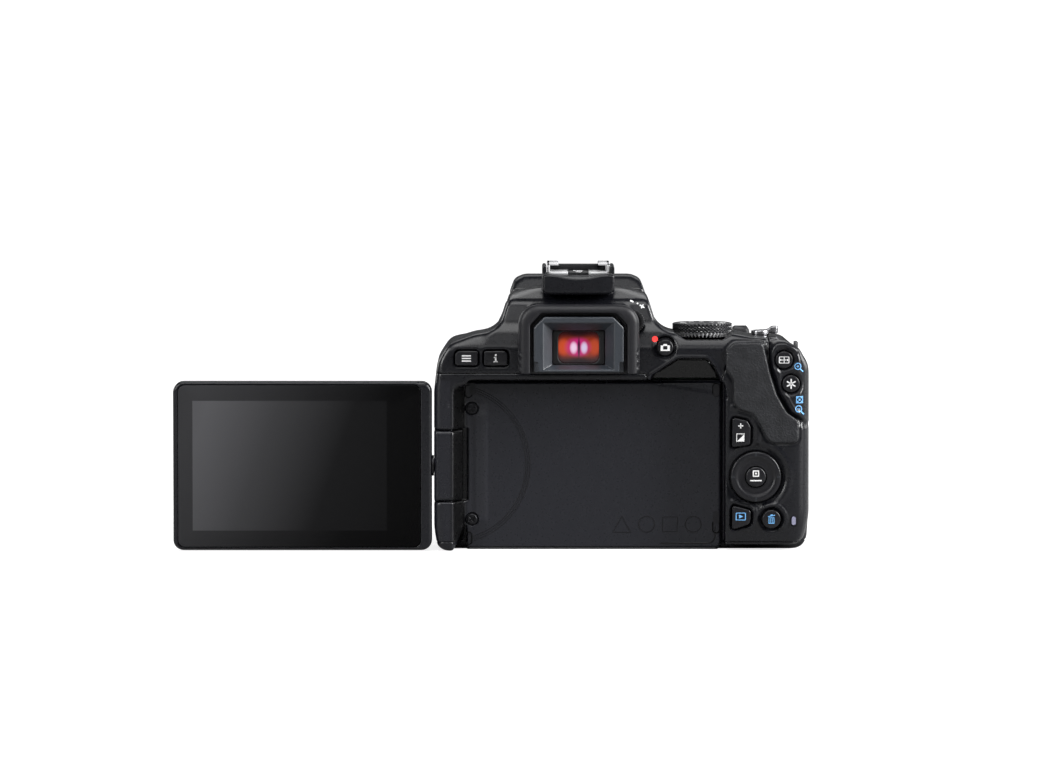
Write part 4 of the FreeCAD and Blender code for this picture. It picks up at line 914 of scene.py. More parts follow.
# Pictures on the buttons, each about its own middle
CAMERA_ICON = (block_of(-1.5, 1.5, -1.05, -0.6) + block_of(-1.5, -0.7, -0.6, 0.75)
               + block_of(0.7, 1.5, -0.6, 0.75) + block_of(-0.7, 0.7, 0.55, 0.75)
               + block_of(-0.6, 0.6, 0.75, 1.2))
AF_ICON = (ring_of(rounded_box(-1.7, 1.7, -1.1, 1.1, 0.3, 4), 0.3) + block_of(-0.12, 0.12, -0.9, 0.9)
           + block_of(-1.3, -0.9, -0.3, 0.3) + block_of(0.9, 1.3, -0.3, 0.3)
           + block_of(-0.7, 0.7, -0.12, 0.12))
STAR_ICON = [quad for turn in range(6)
             for quad in stroke([(0, 0), (1.6 * math.sin(math.pi * turn / 3),
                                          1.6 * math.cos(math.pi * turn / 3))], 0.42)]
BARS_ICON = [quad for v in (-0.85, 0.0, 0.85) for quad in block_of(-1.5, 1.5, v - 0.19, v + 0.19)]
NOTE_ICON = (block_of(-0.24, 0.24, -1.2, 0.35) + block_of(-0.6, 0.24, 0.1, 0.45)
             + block_of(-0.65, 0.65, -1.25, -0.95) + [circle(0, 1.05, 0.34, 14)])
SCALE_ICON = (ring_of([(-1.4, -1.4), (1.4, -1.4), (1.4, 1.4), (-1.4, 1.4)], 0.3)
              + [[(-1.4, -1.4), (1.4, -1.4), (1.4, 1.4)]])
PLUS_ICON = block_of(-0.55, 0.55, -0.11, 0.11) + block_of(-0.11, 0.11, -0.55, 0.55)
PLAY_ICON = (ring_of(rounded_box(-1.65, 1.65, -1.25, 1.25, 0.3, 4), 0.34)
             + [[(-0.6, -0.65), (0.85, 0), (-0.6, 0.65)]])
BIN_ICON = (block_of(-0.95, 0.95, -1.45, -1.2) + block_of(-0.95, -0.7, -1.2, 0.6)
            + block_of(0.7, 0.95, -1.2, 0.6) + block_of(-0.36, -0.16, -1.2, 0.6)
            + block_of(0.16, 0.36, -1.2, 0.6) + block_of(-0.95, 0.95, 0.45, 0.65)
            + stroke([(-1.15, 0.85), (1.15, 1.3)], 0.26) + stroke([(-0.35, 1.3), (0.4, 1.48)], 0.3))
GLASS_ICON = (ring_of(circle(-0.3, 0.3, 1.15, 20), 0.27) + stroke([(0.5, -0.55), (1.45, -1.5)], 0.4))
GRID_ICON = (ring_of([(-1.15, -1.15), (1.15, -1.15), (1.15, 1.15), (-1.15, 1.15)], 0.35)
             + block_of(-0.3, 0.3, -0.3, 0.3) + block_of(-0.85, -0.4, 0.4, 0.85)
             + block_of(0.4, 0.85, 0.4, 0.85) + block_of(-0.85, -0.4, -0.85, -0.4)
             + block_of(0.4, 0.85, -0.85, -0.4))
QUICK_ICON = ring_of(rounded_box(-0.95, 0.95, -0.95, 0.95, 0.2, 3), 0.42) + [circle(0, 0, 0.3, 14)]


# ---------------------------------------------------------------- buttons

BACK = -30.9


def round_cap(name, body, cx, cz, radius, dish):
    profile = [(radius + 0.5, 3.5), (radius + 0.5, 2.9), (radius, 2.85), (radius, 0.42)]
    profile += [(radius - 0.42 * (1 - math.cos(t)), 0.42 - 0.42 * math.sin(t))
                for t in (0.4, 0.8, 1.2, 1.57)]
    profile += [((radius - 0.42) * share, dish * (1 - share * share)) for share in (0.8, 0.6, 0.4, 0.2)]
    thing = turned(name + "_cap", profile + [(0.05, dish)], (cx, BACK, cz), "y", 56)
    return finish_piece(thing, body, "button_plastic", [name])


for name, (cx, cz, radius) in ROUND_BUTTONS.items():
    round_cap(name, name, cx, cz, radius, -0.18)
for name, (low, high) in OBLONG_BUTTONS.items():
    left_round, right_round = (1.7, 0.7) if name == "menu_button" else (0.7, 1.7)
    outline = rounded([(low, 60.8, 0.7), (high, 60.8, 0.7), (high, 65.5, right_round),
                       (low, 65.5, left_round)], 6)
    finish_piece(slab(name + "_cap", outline, BACK, -27.3, 0.4, 0.12), name, "button_plastic", [name])
for name, outline in (("exposure_button", EXPOSURE), ("playback_button", PLAYBACK)):
    finish_piece(slab(name + "_cap", outline, BACK, -27.3, 0.4, 0.1), name, "button_plastic", [name])

# Name, shapes, how far the cap's face stands out there, and ink
BUTTON_MARKS = [
    ("menu", moved(BARS_ICON, -36.5, 63.1), 0.12, WHITE_INK),
    ("info", moved(NOTE_ICON, -26.95, 63.15), 0.12, WHITE_INK),
    ("live_view", moved(CAMERA_ICON, *ROUND_BUTTONS["live_view_button"][:2]), 0.16, WHITE_INK),
    ("focus_point", moved(AF_ICON, *ROUND_BUTTONS["focus_point_button"][:2]), 0.14, WHITE_INK),
    ("lock", moved(STAR_ICON, *ROUND_BUTTONS["lock_button"][:2]), 0.14, WHITE_INK),
    ("erase", moved(BIN_ICON, *ERASE), 0.14, BLUE_INK),
    ("playback", moved(PLAY_ICON, 52.9, 11.5), 0.1, BLUE_INK),
    ("exposure", moved(SCALE_ICON, 52.8, 37.2) + moved(PLUS_ICON, 52.8, 41.1, 1.5), 0.1, WHITE_INK)]
for name, shapes, rise, ink in BUTTON_MARKS:
    inked(name + "_mark", shapes, level(BACK - rise), ink, name + "_button", "button_plastic")

keys_profile = [(8.9, 2.6), (8.9, 2.05), (8.2, 2.0), (8.2, -0.55), (8.05, -0.85), (7.8, -0.98),
                (6.9, -1.0), (6.4, -0.92), (6.1, -0.7), (5.6, -0.5), (4.6, -0.46), (3.9, -0.55),
                (3.62, -0.5), (3.5, -0.2), (3.5, 2.4)]
finish_piece(turned("cross_keys_ring", keys_profile, (KEYS[0], -30.0, KEYS[1]), "y", 96),
             "cross_keys", "button_plastic", ["cross_keys"])


def tick_beside(angle, shift):
    """A short line from the rim of the keys towards their middle, moved sideways by shift."""
    out = np.array([math.cos(math.radians(angle)), math.sin(math.radians(angle))])
    aside = np.array([-out[1], out[0]]) * shift
    return stroke([tuple(np.array(KEYS) + out * reach + aside) for reach in (6.75, 7.95)], 0.14)


key_ticks = [shape for angle in (0, 90, 180, 270) for shift in (-0.22, 0.22)
             for shape in tick_beside(angle, shift)]
inked("cross_keys_ticks", key_ticks, level(-30.98), LOOKS["slate_plastic"], "cross_keys",
      "slate_plastic")
set_profile = [(4.5, 4.0), (4.5, 3.45), (3.3, 3.4), (3.3, -0.75), (3.17, -1.02), (2.9, -1.15),
               (2.4, -1.2), (1.5, -1.25), (0.05, -1.28)]
finish_piece(turned("set_button_cap", set_profile, (KEYS[0], -30.0, KEYS[1]), "y", 64), "set_button",
             "button_plastic", ["set_button"])
inked("set_mark", moved(QUICK_ICON, KEYS[0], KEYS[1] + 1.15, 1.1) + block_of(
    KEYS[0] - 1.9, KEYS[0] + 1.9, KEYS[1] - 1.35, KEYS[1] - 0.95), level(-31.27), WHITE_INK,
    "set_button", "button_plastic")

inked("red_spot", [circle(24.9, 69.3, 0.95, 28)], skin_depth, RED_INK, BODY, "body_plastic")
ZOOM_MARKS = (moved(GLASS_ICON, 71.7, 60.2) + moved(PLUS_ICON, 71.4, 60.5, 0.85)
              + moved(GRID_ICON, 72.0, 49.6) + moved(GLASS_ICON, 72.0, 46.3)
              + moved(block_of(-0.5, 0.5, -0.1, 0.1), 71.7, 46.6))
inked("zoom_marks", diced(ZOOM_MARKS, 0.4), skin_depth, BLUE_INK, BODY, "body_plastic")
inked("dioptre_marks", stroke([(16.9, 81.6), (18.0, 81.2)], 0.45)
      + [circle(19.3, 80.7, 0.28, 12)] + stroke([(20.0, 80.2), (21.6, 79.3)], 0.42)
      + stroke([(20.5, 79.1), (21.2, 80.4)], 0.42), skin_depth, WHITE_INK, BODY, "body_plastic")


# ---------------------------------------------------------------- thumb pad

def pad_field(x, y, z):
    edge = inside_of(PAD, x, z)
    grain = (np.sin(x * 5.1 + 1.7 * np.sin(z * 2.3)) * np.sin(z * 4.7 + 1.5 * np.sin(x * 1.9))
             + 0.6 * np.sin(x * 9.3 - z * 3.1) * np.sin(z * 8.1 + x * 2.2)) * 0.012
    grain = grain * step_up(-edge, 0.3, 1.2)
    return soft_max(edge, span(y, -31.0, -29.2) + grain, 0.8)


finish_piece(grown("thumb_pad_skin", pad_field, (47.3, -31.6, 34.8), (72.6, -28.9, 68.9),
                   (0.22, 0.2, 0.22)), BODY, "grip_rubber", ["thumb_pad"])


# ---------------------------------------------------------------- eyepiece

def cup_field(x, y, z):
    around = rect(x, z, -19.8, 19.8, 40, 81.0, 6.5)
    ribs = 0.22 * np.clip(np.sin(z * 2.6) * 3, -1, 1) * (1 - step_up(z, 65.5, 67)) * (np.abs(x) > 19)
    bulk = soft_max(around + ribs, span(y, -38.0 + 0.05 * np.abs(x), -33.05), 3.2)
    bay = inside_of(CUP_BAY, x, z)
    bulk = soft_max(bulk, -bay, 1.2)
    step = all_of(bay - 1.7, -37.0 - y, y + 33.05, -bay)
    foot = all_of(span(bay, -0.9, 0.3), span(y, -33.9, -33.05))
    grips = all_of(rect(np.abs(x), z, 18.1, 19.8, 60, 70, 0.4), span(y, -34, -31.3))
    return all_of(any_of(bulk, step, foot, grips), 58.3 - z)


CUP_BAY = both_sides([(15.8, 40), (15.8, 74.3, 1.2), (12.2, 78.1, 1.2)], 5)
finish_piece(grown("eyecup_rubber_arch", cup_field, (-20.6, -38.6, 57.8), (20.6, -30.9, 81.8), 0.3),
             "eyecup", "soft_rubber", ["eyecup_rubber"])


def frame_field(x, y, z):
    plate = soft_max(inside_of(CUP_PLATE, x, z), span(y, -37.0, -33.1), 0.5)
    deep = np.clip((y + 37.2) / 3.6, 0, 1)
    half = 11.7 - 3.1 * deep
    low, high = 59.6 + 1.5 * deep, 75.2 - 2.8 * deep
    funnel = all_of(np.abs(x) - half, low - z, z - high)
    feet = all_of(rect(np.abs(x), z, 13.2, 16, 58, 62.2, 0.5), span(y, -40, -35.6))
    return without(plate, funnel, feet)


CUP_PLATE = both_sides([(14.6, 58.9, 0.4), (14.6, 73.4, 0.9), (11.2, 76.9, 0.9)], 5)
finish_piece(grown("eyecup_frame_plate", frame_field, (-15.6, -37.5, 58.4), (15.6, -32.6, 77.9), 0.25),
             "eyecup", "slate_plastic", ["eyecup_frame"])

WINDOW = rounded_box(-6.6, 6.6, 61.6, 71.9, 2.2, 8)
WINDOW_MASK = rounded_box(-8.55, 8.55, 61.0, 72.4, 0.8, 5)


def mask_field(x, y, z):
    edge = all_of(inside_of(WINDOW_MASK, x, z), span(y, -32.3, -30.9))
    return soft_max(edge, -inside_of(WINDOW, x, z), 0.5)


finish_piece(grown("eyepiece_surround", mask_field, (-9, -32.8, 60.5), (9, -30.6, 72.9), 0.22),
             BODY, "dark_plastic")


# The finder's glow, painted on as light in layers, each laid over the one before: middle, half width and
# height, colour; the last two layers are painted shade at its top and bottom
PAINTED_GLOW = [((0.0, 66.9), (9.4, 6.0), (0.34, 0.030, 0.006)),
        ((-4.9, 66.8), (2.6, 3.4), (0.62, 0.070, 0.012)),
        ((5.2, 66.8), (2.4, 3.4), (0.50, 0.055, 0.010)),
        ((-0.2, 66.8), (5.0, 4.0), (0.62, 0.014, 0.22)),
        ((-1.6, 66.6), (1.5, 2.4), (0.93, 0.66, 0.88)),
        ((1.8, 66.6), (1.4, 2.4), (0.72, 0.60, 0.84)),
        ((0.1, 66.6), (0.60, 4.4), (0.05, 0.004, 0.03)),
        ((0.0, 61.6), (7.4, 2.9), (0.008, 0.001, 0.002)),
        ((0.0, 72.2), (7.6, 3.2), (0.010, 0.001, 0.002))]


def eyepiece_look():
    """Coated eyepiece glass with painted light: the finder's glow and two pale spots, given off by the glass.
    """
    material = look("eyepiece_glow_look", (0.01, 0.01, 0.012), 0.06, (), 0.1, specular=0.5)
    graph = Graph(material)
    across = graph.across()
    tone = (0.02, 0.002, 0.002, 1)
    for middle, half, colour in PAINTED_GLOW:
        squares = []
        for axis, centre, size in zip("XZ", middle, half):
            share = graph.math("DIVIDE", graph.math("SUBTRACT", across[axis], centre * MM), size * MM)
            squares.append(graph.math("POWER", graph.math("ABSOLUTE", share), 2.0))
        fall = graph.ranged(graph.math("ADD", *squares), 0.0, 1.0, 1.0, 0.0, "SMOOTHSTEP")
        tone = graph.mixed(fall, tone, (*colour, 1))
    graph.feed(graph.nodes["Principled BSDF"], {"Emission Color": tone, "Emission Strength": 0.9})
    return material


GLASS_FACE = rounded_box(-8.3, 8.3, 61.3, 72.2, 1.5, 5)
finish_piece(slab("eyepiece_glass_front", GLASS_FACE, -31.0, -27.0, 0.2, 0.25),
             BODY, "eyepiece_glass", ["eyepiece_lens"], eyepiece_look())


# ---------------------------------------------------------------- dioptre wheel

def ribbed(count, depth, steps, sharpness):
    """A rim that goes in and out round a turned piece, at some steps of its profile."""
    def rule(angle, step):
        return -depth * (0.5 - 0.5 * math.cos(count * angle)) ** sharpness if step in steps else 0.0
    return rule


finish_piece(turned("dioptre_wheel", [(3.3, 3.2), (3.9, 2.9), (3.9, 0.5), (3.6, 0.05), (3.0, 0.0),
                                      (2.7, 0.35), (0.2, 0.35)], (17.6, -31.0, 75.0), "y", 192,
                    ribbed(32, 0.5, (1, 2, 3, 4), 2)), "dioptre_knob", "dark_plastic", ["dioptre_knob"])


# ---------------------------------------------------------------- mode dial

def on_dial(radius, angle, z):
    return (DIAL[0] + radius * math.cos(angle), DIAL[1] + radius * math.sin(angle), z)


def knurled_dial():
    """The dial's rim, cut with crossed grooves, and its flat top."""
    around, levels = 264, 15
    points, faces = [], []
    for row in range(levels):
        z = 70.5 + 2.75 * row / (levels - 1)
        for k in range(around):
            a = 2 * math.pi * k / around
            u = a * 44 / (2 * math.pi)
            v = row / (levels - 1) * 3.0
            cross = max(abs(math.sin(math.pi * (u + v))), abs(math.sin(math.pi * (u - v))))
            pyramid = abs(math.cos(math.pi * (u + v)) * math.cos(math.pi * (u - v)))
            radius = 9.9 - 0.42 + 0.42 * pyramid - 0.08 * cross
            points.append(on_dial(radius, a, z))
    rings = ((9.35, 73.5), (9.0, 73.6), (8.8, 73.42), (8.6, 73.4), (4.0, 73.4), (0.5, 73.4))
    points += [on_dial(radius, 2 * math.pi * k / around, z) for radius, z in rings for k in range(around)]
    bands = levels + len(rings) - 1
    for row in range(bands):
        faces += band(row * around, (row + 1) * around, around)
    faces.append(tuple(range(bands * around, (bands + 1) * around)))
    faces.append(tuple(reversed(range(around))))
    return polygons("mode_dial_rim", points, faces, 30.0)


finish_piece(knurled_dial(), "mode_dial", "dial_metal", ["mode_dial"])


def dial_facets():
    """A ring of small pointed facets under the rim."""
    points, faces = [], []
    count = 44
    for k in range(count):
        a = 2 * math.pi * k / count
        half = math.pi / count
        start = len(points)
        for radius, angle, z in ((9.25, a - half, 70.55), (9.25, a + half, 70.55), (9.55, a, 70.45),
                                 (8.6, a, 68.95), (7.6, a, 69.0), (7.6, a, 70.5)):
            points.append(on_dial(radius, angle, z))
        faces += [(start, start + 2, start + 3), (start + 2, start + 1, start + 3),
                  (start, start + 3, start + 4), (start + 1, start + 4, start + 3),
                  (start, start + 5, start + 1, start + 2), (start, start + 4, start + 5),
                  (start + 1, start + 5, start + 4)]
    return polygons("mode_dial_facets", points, faces, 10.0)


FACET_LOOK = look("facet_look", (0.93, 0.93, 0.94), 0.3, [(0.0005, 0.000004)], 0.03, metal=0.3,
                  specular=0.8)
finish_piece(dial_facets(), "mode_dial", "bright_metal", (), FACET_LOOK)
dial_marks = []
for k in range(12):
    a = 2 * math.pi * k / 12
    cu, cv, _ = on_dial(6.9, a, 0)
    if k % 4 == 0:
        dial_marks += ring_of(circle(cu, cv, 0.95, 16), 0.3)
    elif k % 4 == 1:
        dial_marks += moved(block_of(-0.8, 0.8, -0.55, 0.55), cu, cv)
    elif k % 4 == 2:
        dial_marks += [[(cu - 0.8, cv - 0.6), (cu + 0.8, cv - 0.6), (cu, cv + 0.9)]]
    else:
        dial_marks += moved(BARS_ICON, cu, cv, 0.55)
inked("mode_dial_marks", dial_marks, level(73.4), WHITE_INK, "mode_dial", "dial_metal", "top")


# ---------------------------------------------------------------- top controls

finish_piece(turned("main_dial_wheel", [(1.3, 0.0), (7.2, 0.0), (8.1, 0.35), (8.4, 1.0), (8.4, 4.8),
                                        (7.6, 5.45), (6.9, 5.8), (1.3, 5.8)], (51.2, 10.5, 63.3), "x", 240,
                    ribbed(40, 0.55, (2, 3, 4), 1)), "main_dial", "button_plastic", ["main_dial"])
finish_piece(turned("shutter_button_cap", [(4.4, 0.0), (5.0, 0.4), (5.0, 4.9), (4.85, 5.5), (4.4, 5.85),
                                           (3.6, 5.9), (2.4, 5.75), (1.2, 5.66), (0.1, 5.64)],
                    (*SHUTTER, 60.5), "z", 72), "shutter_button", "dial_metal", ["shutter_button"])
finish_piece(turned("iso_button_cap", [(2.3, 0.0), (2.3, 3.5), (2.15, 3.8), (1.8, 3.9), (0.1, 3.98)],
                    (*ISO, 66.0), "z", 48), "iso_button", "button_plastic", ["iso_button"])
inked("iso_mark", moved(BARS_ICON, *ISO, 0.6), level(69.97), WHITE_INK, "iso_button",
      "button_plastic", "top")


def lever_field(x, y, z):
    hub = soft_max(disc(x, y, *LEVER, 2.9), span(z, 69.45, 71.3), 0.6)
    arm = rect(x, y, 59.8, 65.6, -11.2, -7.8, 1.4)
    arm = soft_max(arm, span(z, 70.3, 71.3 + 1.1 * step_up(x, 61.5, 64.0)), 0.5)
    grip = soft_max(rect(x, y, 63.4, 65.7, -11.2, -7.8, 0.9), span(z, 70.2, 72.5), 0.7)
    stem = all_of(disc(x, y, *LEVER, 1.3), span(z, 65.5, 70))
    return any_of(soft_min(soft_min(hub, arm, 0.8), grip, 0.6), stem)


LEVER_LOOK = look("lever_metal_look", (0.30, 0.30, 0.31), 0.28, [(0.0005, 0.000004)], 0.06, metal=1.0)
finish_piece(grown("power_lever_arm", lever_field, (56.4, -12.9, 65.0), (66.3, -6.1, 73.0), 0.22),
             "power_lever", "bright_metal", ["power_lever"], LEVER_LOOK)


# ---------------------------------------------------------------- accessory shoe

SHOE_HALF = 10.2
SHOE_BARS = [(9.3, -2.6, 90.2, 93.8), (6.5, -2.6, 92.95, 93.8), (3.4, -4.0, 89.95, 90.85)]
SHOE = []
for side in (-1, 1):
    for inner, front, low, high in SHOE_BARS:
        left, right = sorted((side * SHOE_HALF, side * inner))
        SHOE.append(((left, -21.0, low), (right, front, high)))
lump("shoe_rails", SHOE, "shoe_steel", BODY, ["shoe_rail"], 0.16)
lump("shoe_stop", [((-6.3, -4.4, 89.7), (6.3, -2.2, 92.6)), ((-9.2, -3.6, 89.7), (9.2, -2.2, 92.8)),
                   ((-3.3, -20.6, 89.6), (3.3, -4.0, 90.7))], "dark_plastic", BODY, ["shoe_insert"], 0.2)
lump("shoe_contact", [((-1.6, -13.1, 90.3), (1.6, -9.9, 90.95)), ((-1.0, -19.8, 90.4), (1.0, -19.2, 90.9))],
     "bright_metal", BODY, (), 0.12)


# ---------------------------------------------------------------- screen

NEAR, FAR = -47.8, -132.2
SCREEN_MIDDLE = 27.85
LOW, HIGH = SCREEN_MIDDLE - 27.55, SCREEN_MIDDLE + 27.55
LIT_AREA = ("X", -125.8, -62.5), ("Z", 6.8, 49.2)


def screen_look():
    """The switched-off display behind its glass, with a painted reflection: a grey sheen that falls off to
    the right.
    """
    material = look("display_look", (0.004, 0.004, 0.005), 0.16, (), 0.05, specular=0.06)
    graph = Graph(material)
    across = graph.across()

    def within(axis, low, high):
        away = graph.math("ABSOLUTE", graph.math("SUBTRACT", across[axis], (low + high) / 2 * MM))
        return graph.math("LESS_THAN", away, (high - low) / 2 * MM)

    def sheen(stops):
        """Painted reflection: greys from the far edge to the near one, leaning a little."""
        slant = graph.math("MULTIPLY_ADD", across["Z"], -0.35, across["X"])
        reach = graph.ranged(slant, (FAR - 9.5) * MM, (NEAR - 9.5) * MM)
        ramp = graph.add("ValToRGB", {"Fac": reach})
        while len(ramp.color_ramp.elements) < len(stops):
            ramp.color_ramp.elements.new(0.5)
        for element, (where, grey) in zip(ramp.color_ramp.elements, stops):
            element.position = where
            element.color = (grey, grey, grey * 1.06, 1)
        return ramp.outputs["Color"]

    # Painted reflection on the glass's border and on its active area
    border = sheen([(0.0, 0.027), (0.45, 0.010), (0.75, 0.0026), (1.0, 0.0013)])
    lit = sheen([(0.05, 0.060), (0.32, 0.029), (0.62, 0.0064), (0.9, 0.0042)])
    mask = graph.math("MULTIPLY", *[within(*limits) for limits in LIT_AREA])
    graph.feed(graph.nodes["Principled BSDF"], {"Base Color": graph.mixed(mask, border, lit)})
    return material


def screen_field(x, y, z):
    edge = rect(x, z, FAR, NEAR, LOW, HIGH, 3.4)
    case = soft_max(edge, span(y, -29.8, -22.2), 1.5)
    bed = all_of(rect(x, z, FAR + 1.45, NEAR - 3.6, LOW + 1.0, HIGH - 1.0, 2.2), y + 28.5)
    room = all_of(rect(x, z, FAR + 3.5, NEAR - 11.5, LOW + 3.5, HIGH - 3.5), span(y, -30, -23.8))
    bore = all_of(disc(y, z, HINGE[1], SCREEN_MIDDLE, 2.3), span(x, NEAR - 10, NEAR + 3))
    frame_line = all_of(np.abs(rect(x, z, FAR + 6, NEAR - 6, LOW + 5, HIGH - 5, 3.0)) - 0.35, -22.5 - y)
    return without(case, bed, room, bore, frame_line)


finish_piece(grown("screen_shell_case", screen_field, (FAR - 0.7, -30.4, LOW - 0.7),
                   (NEAR + 0.7, -21.6, HIGH + 0.7), (0.42, 0.3, 0.42)),
             "screen", "body_plastic", ["screen_shell"])
GLASS = rounded_box(FAR + 1.65, NEAR - 3.75, LOW + 1.15, HIGH - 1.15, 2.2, 8)
finish_piece(slab("screen_glass_front", GLASS, -29.85, -28.6, 0.15), "screen", "screen_glass",
             ["screen_glass"], screen_look())


def arm_field(x, y, z):
    plate = rect(x, z, -47.1, -37.45, 16.35, 39.45, 0.5)
    rear = -29.85 + 7.4 * bank(x)
    body = soft_max(plate, all_of(rear - y, y + 22.1), 1.6)
    turning = soft_max(disc(x, y, *HINGE, 5.4), span(z, 16.35, 39.45), 0.4)
    return all_of(body, turning)


finish_piece(grown("hinge_block_arm", arm_field, (-48.4, -32.0, 15.8), (-36.2, -20.4, 40.0), 0.28),
             "screen_arm", "body_plastic", ["hinge_block"], ARM_LOOK)


# ---------------------------------------------------------------- marks in the screen recess

def wire(name, paths, radius, slot, body, material=None, closed=False):
    """Thin half-round ridges along paths of (x, y, z) points."""
    points, faces = [], []
    sides = 6
    for path in paths:
        spots = np.array(path, float)
        start = len(points)
        count = len(spots)
        for index in range(count):
            before = spots[index - 1] if (index or closed) else spots[index]
            after = spots[(index + 1) % count] if (index + 1 < count or closed) else spots[index]
            run = after - before
            run /= np.linalg.norm(run)
            side = np.array([-run[2], 0.0, run[0]])
            for k in range(sides):
                a = 2 * math.pi * k / sides
                points.append(tuple(spots[index] + (side * math.cos(a) + np.array([0, 1, 0]) * math.sin(a))
                                    * radius))
        last = count if closed else count - 1
        for index in range(last):
            faces += band(start + index * sides, start + ((index + 1) % count) * sides, sides)
        if not closed:
            faces.append(tuple(range(start + sides - 1, start - 1, -1)))
            faces.append(tuple(range(start + (count - 1) * sides, start + count * sides)))
    return finish_piece(polygons(name, points, faces, 60.0), body, slot, (), material)


def on_floor(path, out=0.0):
    """A path in x and z laid on the floor of the recess, or a little out of it."""
    return [(px, FLOOR_Y - out, pz) for px, pz in path]


ARC_MIDDLE, ARC_RADII = (-41.9, 27.9), (24.8, 25.5, 26.2)
wire("recess_arcs", [on_floor(arc(*ARC_MIDDLE, radius, -72.5, 72.5, 64)) for radius in ARC_RADII], 0.13,
     "dark_plastic", BODY, LOOKS["soft_rubber"])
EMBOSS = [circle(37.6, 8.2, 2.6, 28), circle(22.4, 8.2, 2.6, 28),
          [(27.6, 5.8), (32.4, 5.8), (32.4, 10.6), (27.6, 10.6)], [(11.4, 5.6), (17.2, 5.6), (14.3, 10.8)]]
BUMPERS = [(45.1, 52.3), (45.1, 7.4), (-35.9, 51.8), (-35.9, 3.6)]
# Near-black rings round the bumpers: painted shade in the gap round each one
OUTLINES = [rounded_box(bx - 1.1, bx + 1.1, bz - 2.05, bz + 2.05, 1.08, 6) for bx, bz in BUMPERS]
BUMPER_GAP_SHADE_LOOK = look("outline_look", (0.0006, 0.0006, 0.0007), 0.6, [(0.0004, 0.00001)], 0.1, specular=0.1)
wire("recess_outlines", [on_floor(path, 0.03) for path in OUTLINES], 0.19, "dark_plastic", BODY,
     BUMPER_GAP_SHADE_LOOK, closed=True)
wire("recess_shapes", [on_floor(path) for path in EMBOSS], 0.15, "dark_plastic", BODY, closed=True)
LEDGE = [(26.9, 2.0), (35, 2.05), (42.3, 2.1)] + arc(42.5, 4.3, 2.2, -88, 0, 8) + [(44.7, 7.5)]
wire("recess_ledge_line", [on_floor(LEDGE)], 0.22, "dark_plastic", BODY)


def screw_field(x, y, z):
    """Two pan heads, each with a cross cut in it."""
    heads = []
    for sz in SCREW_HEIGHTS:
        head = soft_max(disc(x, z, SCREW_X, sz, 1.75), span(y, -22.15, -20.8), 0.5)
        along_slot = (x - SCREW_X) * 0.8 + (z - sz) * 0.6
        across_slot = (z - sz) * 0.8 - (x - SCREW_X) * 0.6
        cross = [rect(u, v, -1.15, 1.15, -0.24, 0.24)
                 for u, v in ((along_slot, across_slot), (across_slot, along_slot))]
        heads.append(without(head, all_of(any_of(*cross), y + 21.4)))
    return any_of(*heads)


SCREW_TICKS = [ticks(low, high, 0.14 * COARSE)
               for low, high in ((-37, -32.6), (-22.5, -20.5), (7.8, 12.0), (44.1, 48.3))]
finish_piece(grown("recess_screw_heads", screw_field,
                   axes=[SCREW_TICKS[0], SCREW_TICKS[1], np.concatenate(SCREW_TICKS[2:])]),
             BODY, "dark_steel")


# ---------------------------------------------------------------- flash head

def flash_field(x, y, z):
    head = soft_max(inside_of(PRISM_FACE, x, z), inside_of(FLASH_SIDE, y, z), 1.6)
    head = all_of(head, 0.1 - y)
    window = all_of(rect(x, z, -15.5, 15.5, 82.0, 87.4, 1.0), 23.6 - y)
    return without(head, window, all_of(head + 1.6, y - 24.4))


FLASH_SIDE = rounded([(0.1, 80.65, 0.5), (26, 80.65, 0.8), (26, 86.2, 2.5), (21, 88.95, 3),
                      (4.6, 88.95, 2.0), (0.1, 84.2, 0.8)], 6)
finish_piece(grown("flash_head_cover", flash_field, (-22.4, -0.4, 80.2), (22.4, 26.5, 89.5), 0.45),
             "flash", "body_plastic", ["flash_housing"])


# ---------------------------------------------------------------- carried-over nodes

for part in frame["record"]["subparts"]:
    for place in frame["nodes"][part["node"]].material_slots:
        place.material = LOOKS[part["material_slot"]]


# ---------------------------------------------------------------- studio

TARGET = Vector((-18.9, -30.0, 56.5)) * MM
DISTANCE, ELEVATION = 2.0, math.radians(3.5)

lens = bpy.data.cameras.new("studio_camera")
lens.sensor_width = 36.0
lens.lens = 212.4
lens.clip_start, lens.clip_end = 0.05, 50
eye = placed("studio_camera", lens)
eye.location = TARGET + Vector((0, -math.cos(ELEVATION), math.sin(ELEVATION))) * DISTANCE
eye.rotation_euler = (math.pi / 2 - ELEVATION, 0, 0)
bpy.context.scene.camera = eye

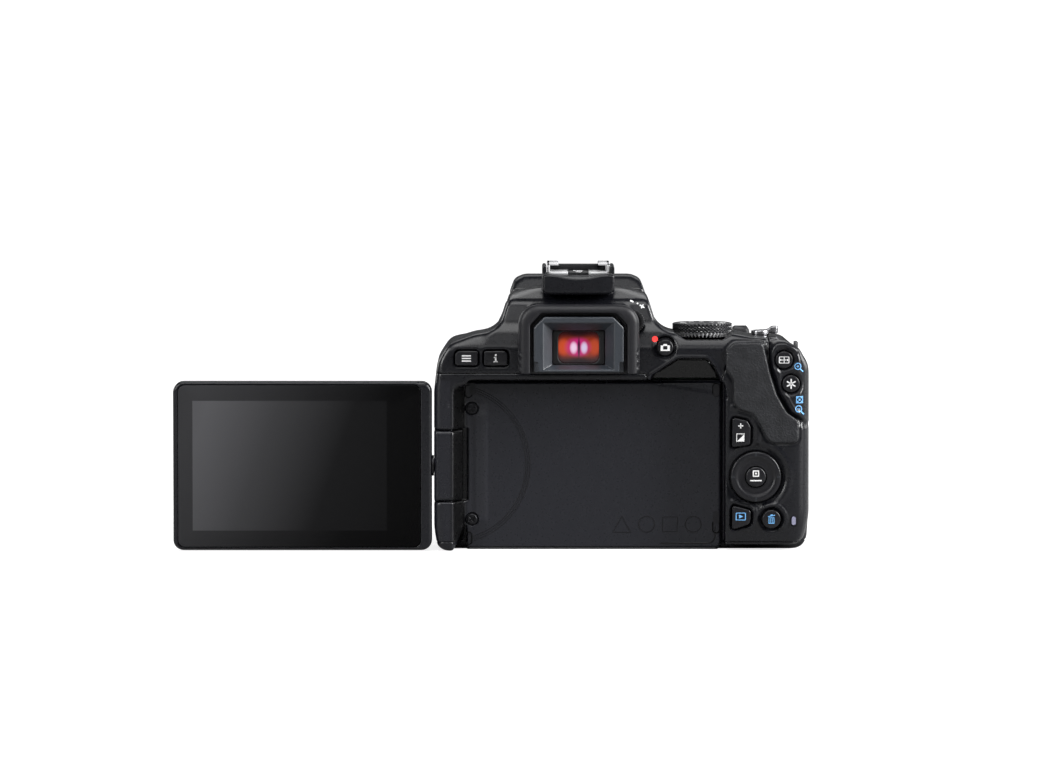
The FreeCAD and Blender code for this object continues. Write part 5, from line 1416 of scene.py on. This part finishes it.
FILL_LIGHT, BACKDROP = 0.06, 1.1
world = bpy.data.worlds.new("studio_world")
bpy.context.scene.world = world
world.use_nodes = True
sky = Graph(world)
seen = sky.nodes["Background"]
sky.feed(seen, {"Color": (1, 1, 1, 1), "Strength": BACKDROP})
fill = sky.add("Background", {"Color": (0.93, 0.96, 1.0, 1), "Strength": FILL_LIGHT})
to_camera = sky.add("LightPath", {}).outputs["Is Camera Ray"]
either = sky.add("MixShader", {0: to_camera, 1: fill.outputs["Background"], 2: seen.outputs["Background"]})
sky.feed(sky.nodes["World Output"], {"Surface": either.outputs["Shader"]})


def area_light(name, spot, aim, size, power):
    lamp = bpy.data.lights.new(name, "AREA")
    lamp.shape = "RECTANGLE"
    lamp.size, lamp.size_y = size
    lamp.energy = power
    thing = placed(name, lamp)
    thing.location = spot
    thing.rotation_euler = (Vector(aim) - Vector(spot)).to_track_quat("-Z", "Y").to_euler()


MIDDLE = (0, 0, 0.05)
for name, spot, aim, size, power in (
        ("top_box", (0.0, -0.55, 1.35), (0, 0, 0.04), (1.1, 0.7), 13),
        ("left_strip", (-0.8, -0.62, 0.5), (-0.03, 0, 0.05), (0.2, 0.7), 8.5),
        ("right_strip", (1.2, -0.40, 0.65), (0.05, 0, 0.05), (0.3, 0.9), 44),
        ("far_left", (-1.2, 1.1, 0.5), MIDDLE, (0.6, 0.8), 8),
        ("far_right", (1.2, 1.1, 0.5), MIDDLE, (0.6, 0.8), 7),
        ("front_box", (-0.3, -1.7, 1.1), MIDDLE, (1.4, 0.5), 6),
        ("back_box", (0.0, 1.3, 0.9), MIDDLE, (1.2, 0.5), 3)):
    area_light(name, spot, aim, size, power)

floor_mesh = bpy.data.meshes.new("studio_floor")
floor_mesh.from_pydata([(-8, -8, 0), (8, -8, 0), (8, 8, 0), (-8, 8, 0)], [], [(0, 1, 2, 3)])
floor = placed("studio_floor", floor_mesh)
paper = look("floor_look", (0.3, 0.3, 0.3), 0.8, (), 0.01, 0.4, specular=0.1)
floor_mesh.materials.append(paper)
graph = Graph(paper)
reach = graph.add("VectorMath", {0: graph.place()}, operation="LENGTH").outputs["Value"]
glow = graph.ranged(reach, 0.1, 1.6, 0.80, 0.99, "SMOOTHSTEP")
seen_only = graph.math("MULTIPLY", glow, graph.add("LightPath", {}).outputs["Is Camera Ray"])
graph.feed(graph.nodes["Principled BSDF"], {"Emission Strength": seen_only, "Emission Color": (1, 1, 1, 1)})
bpy.context.scene.view_settings.view_transform = "Standard"
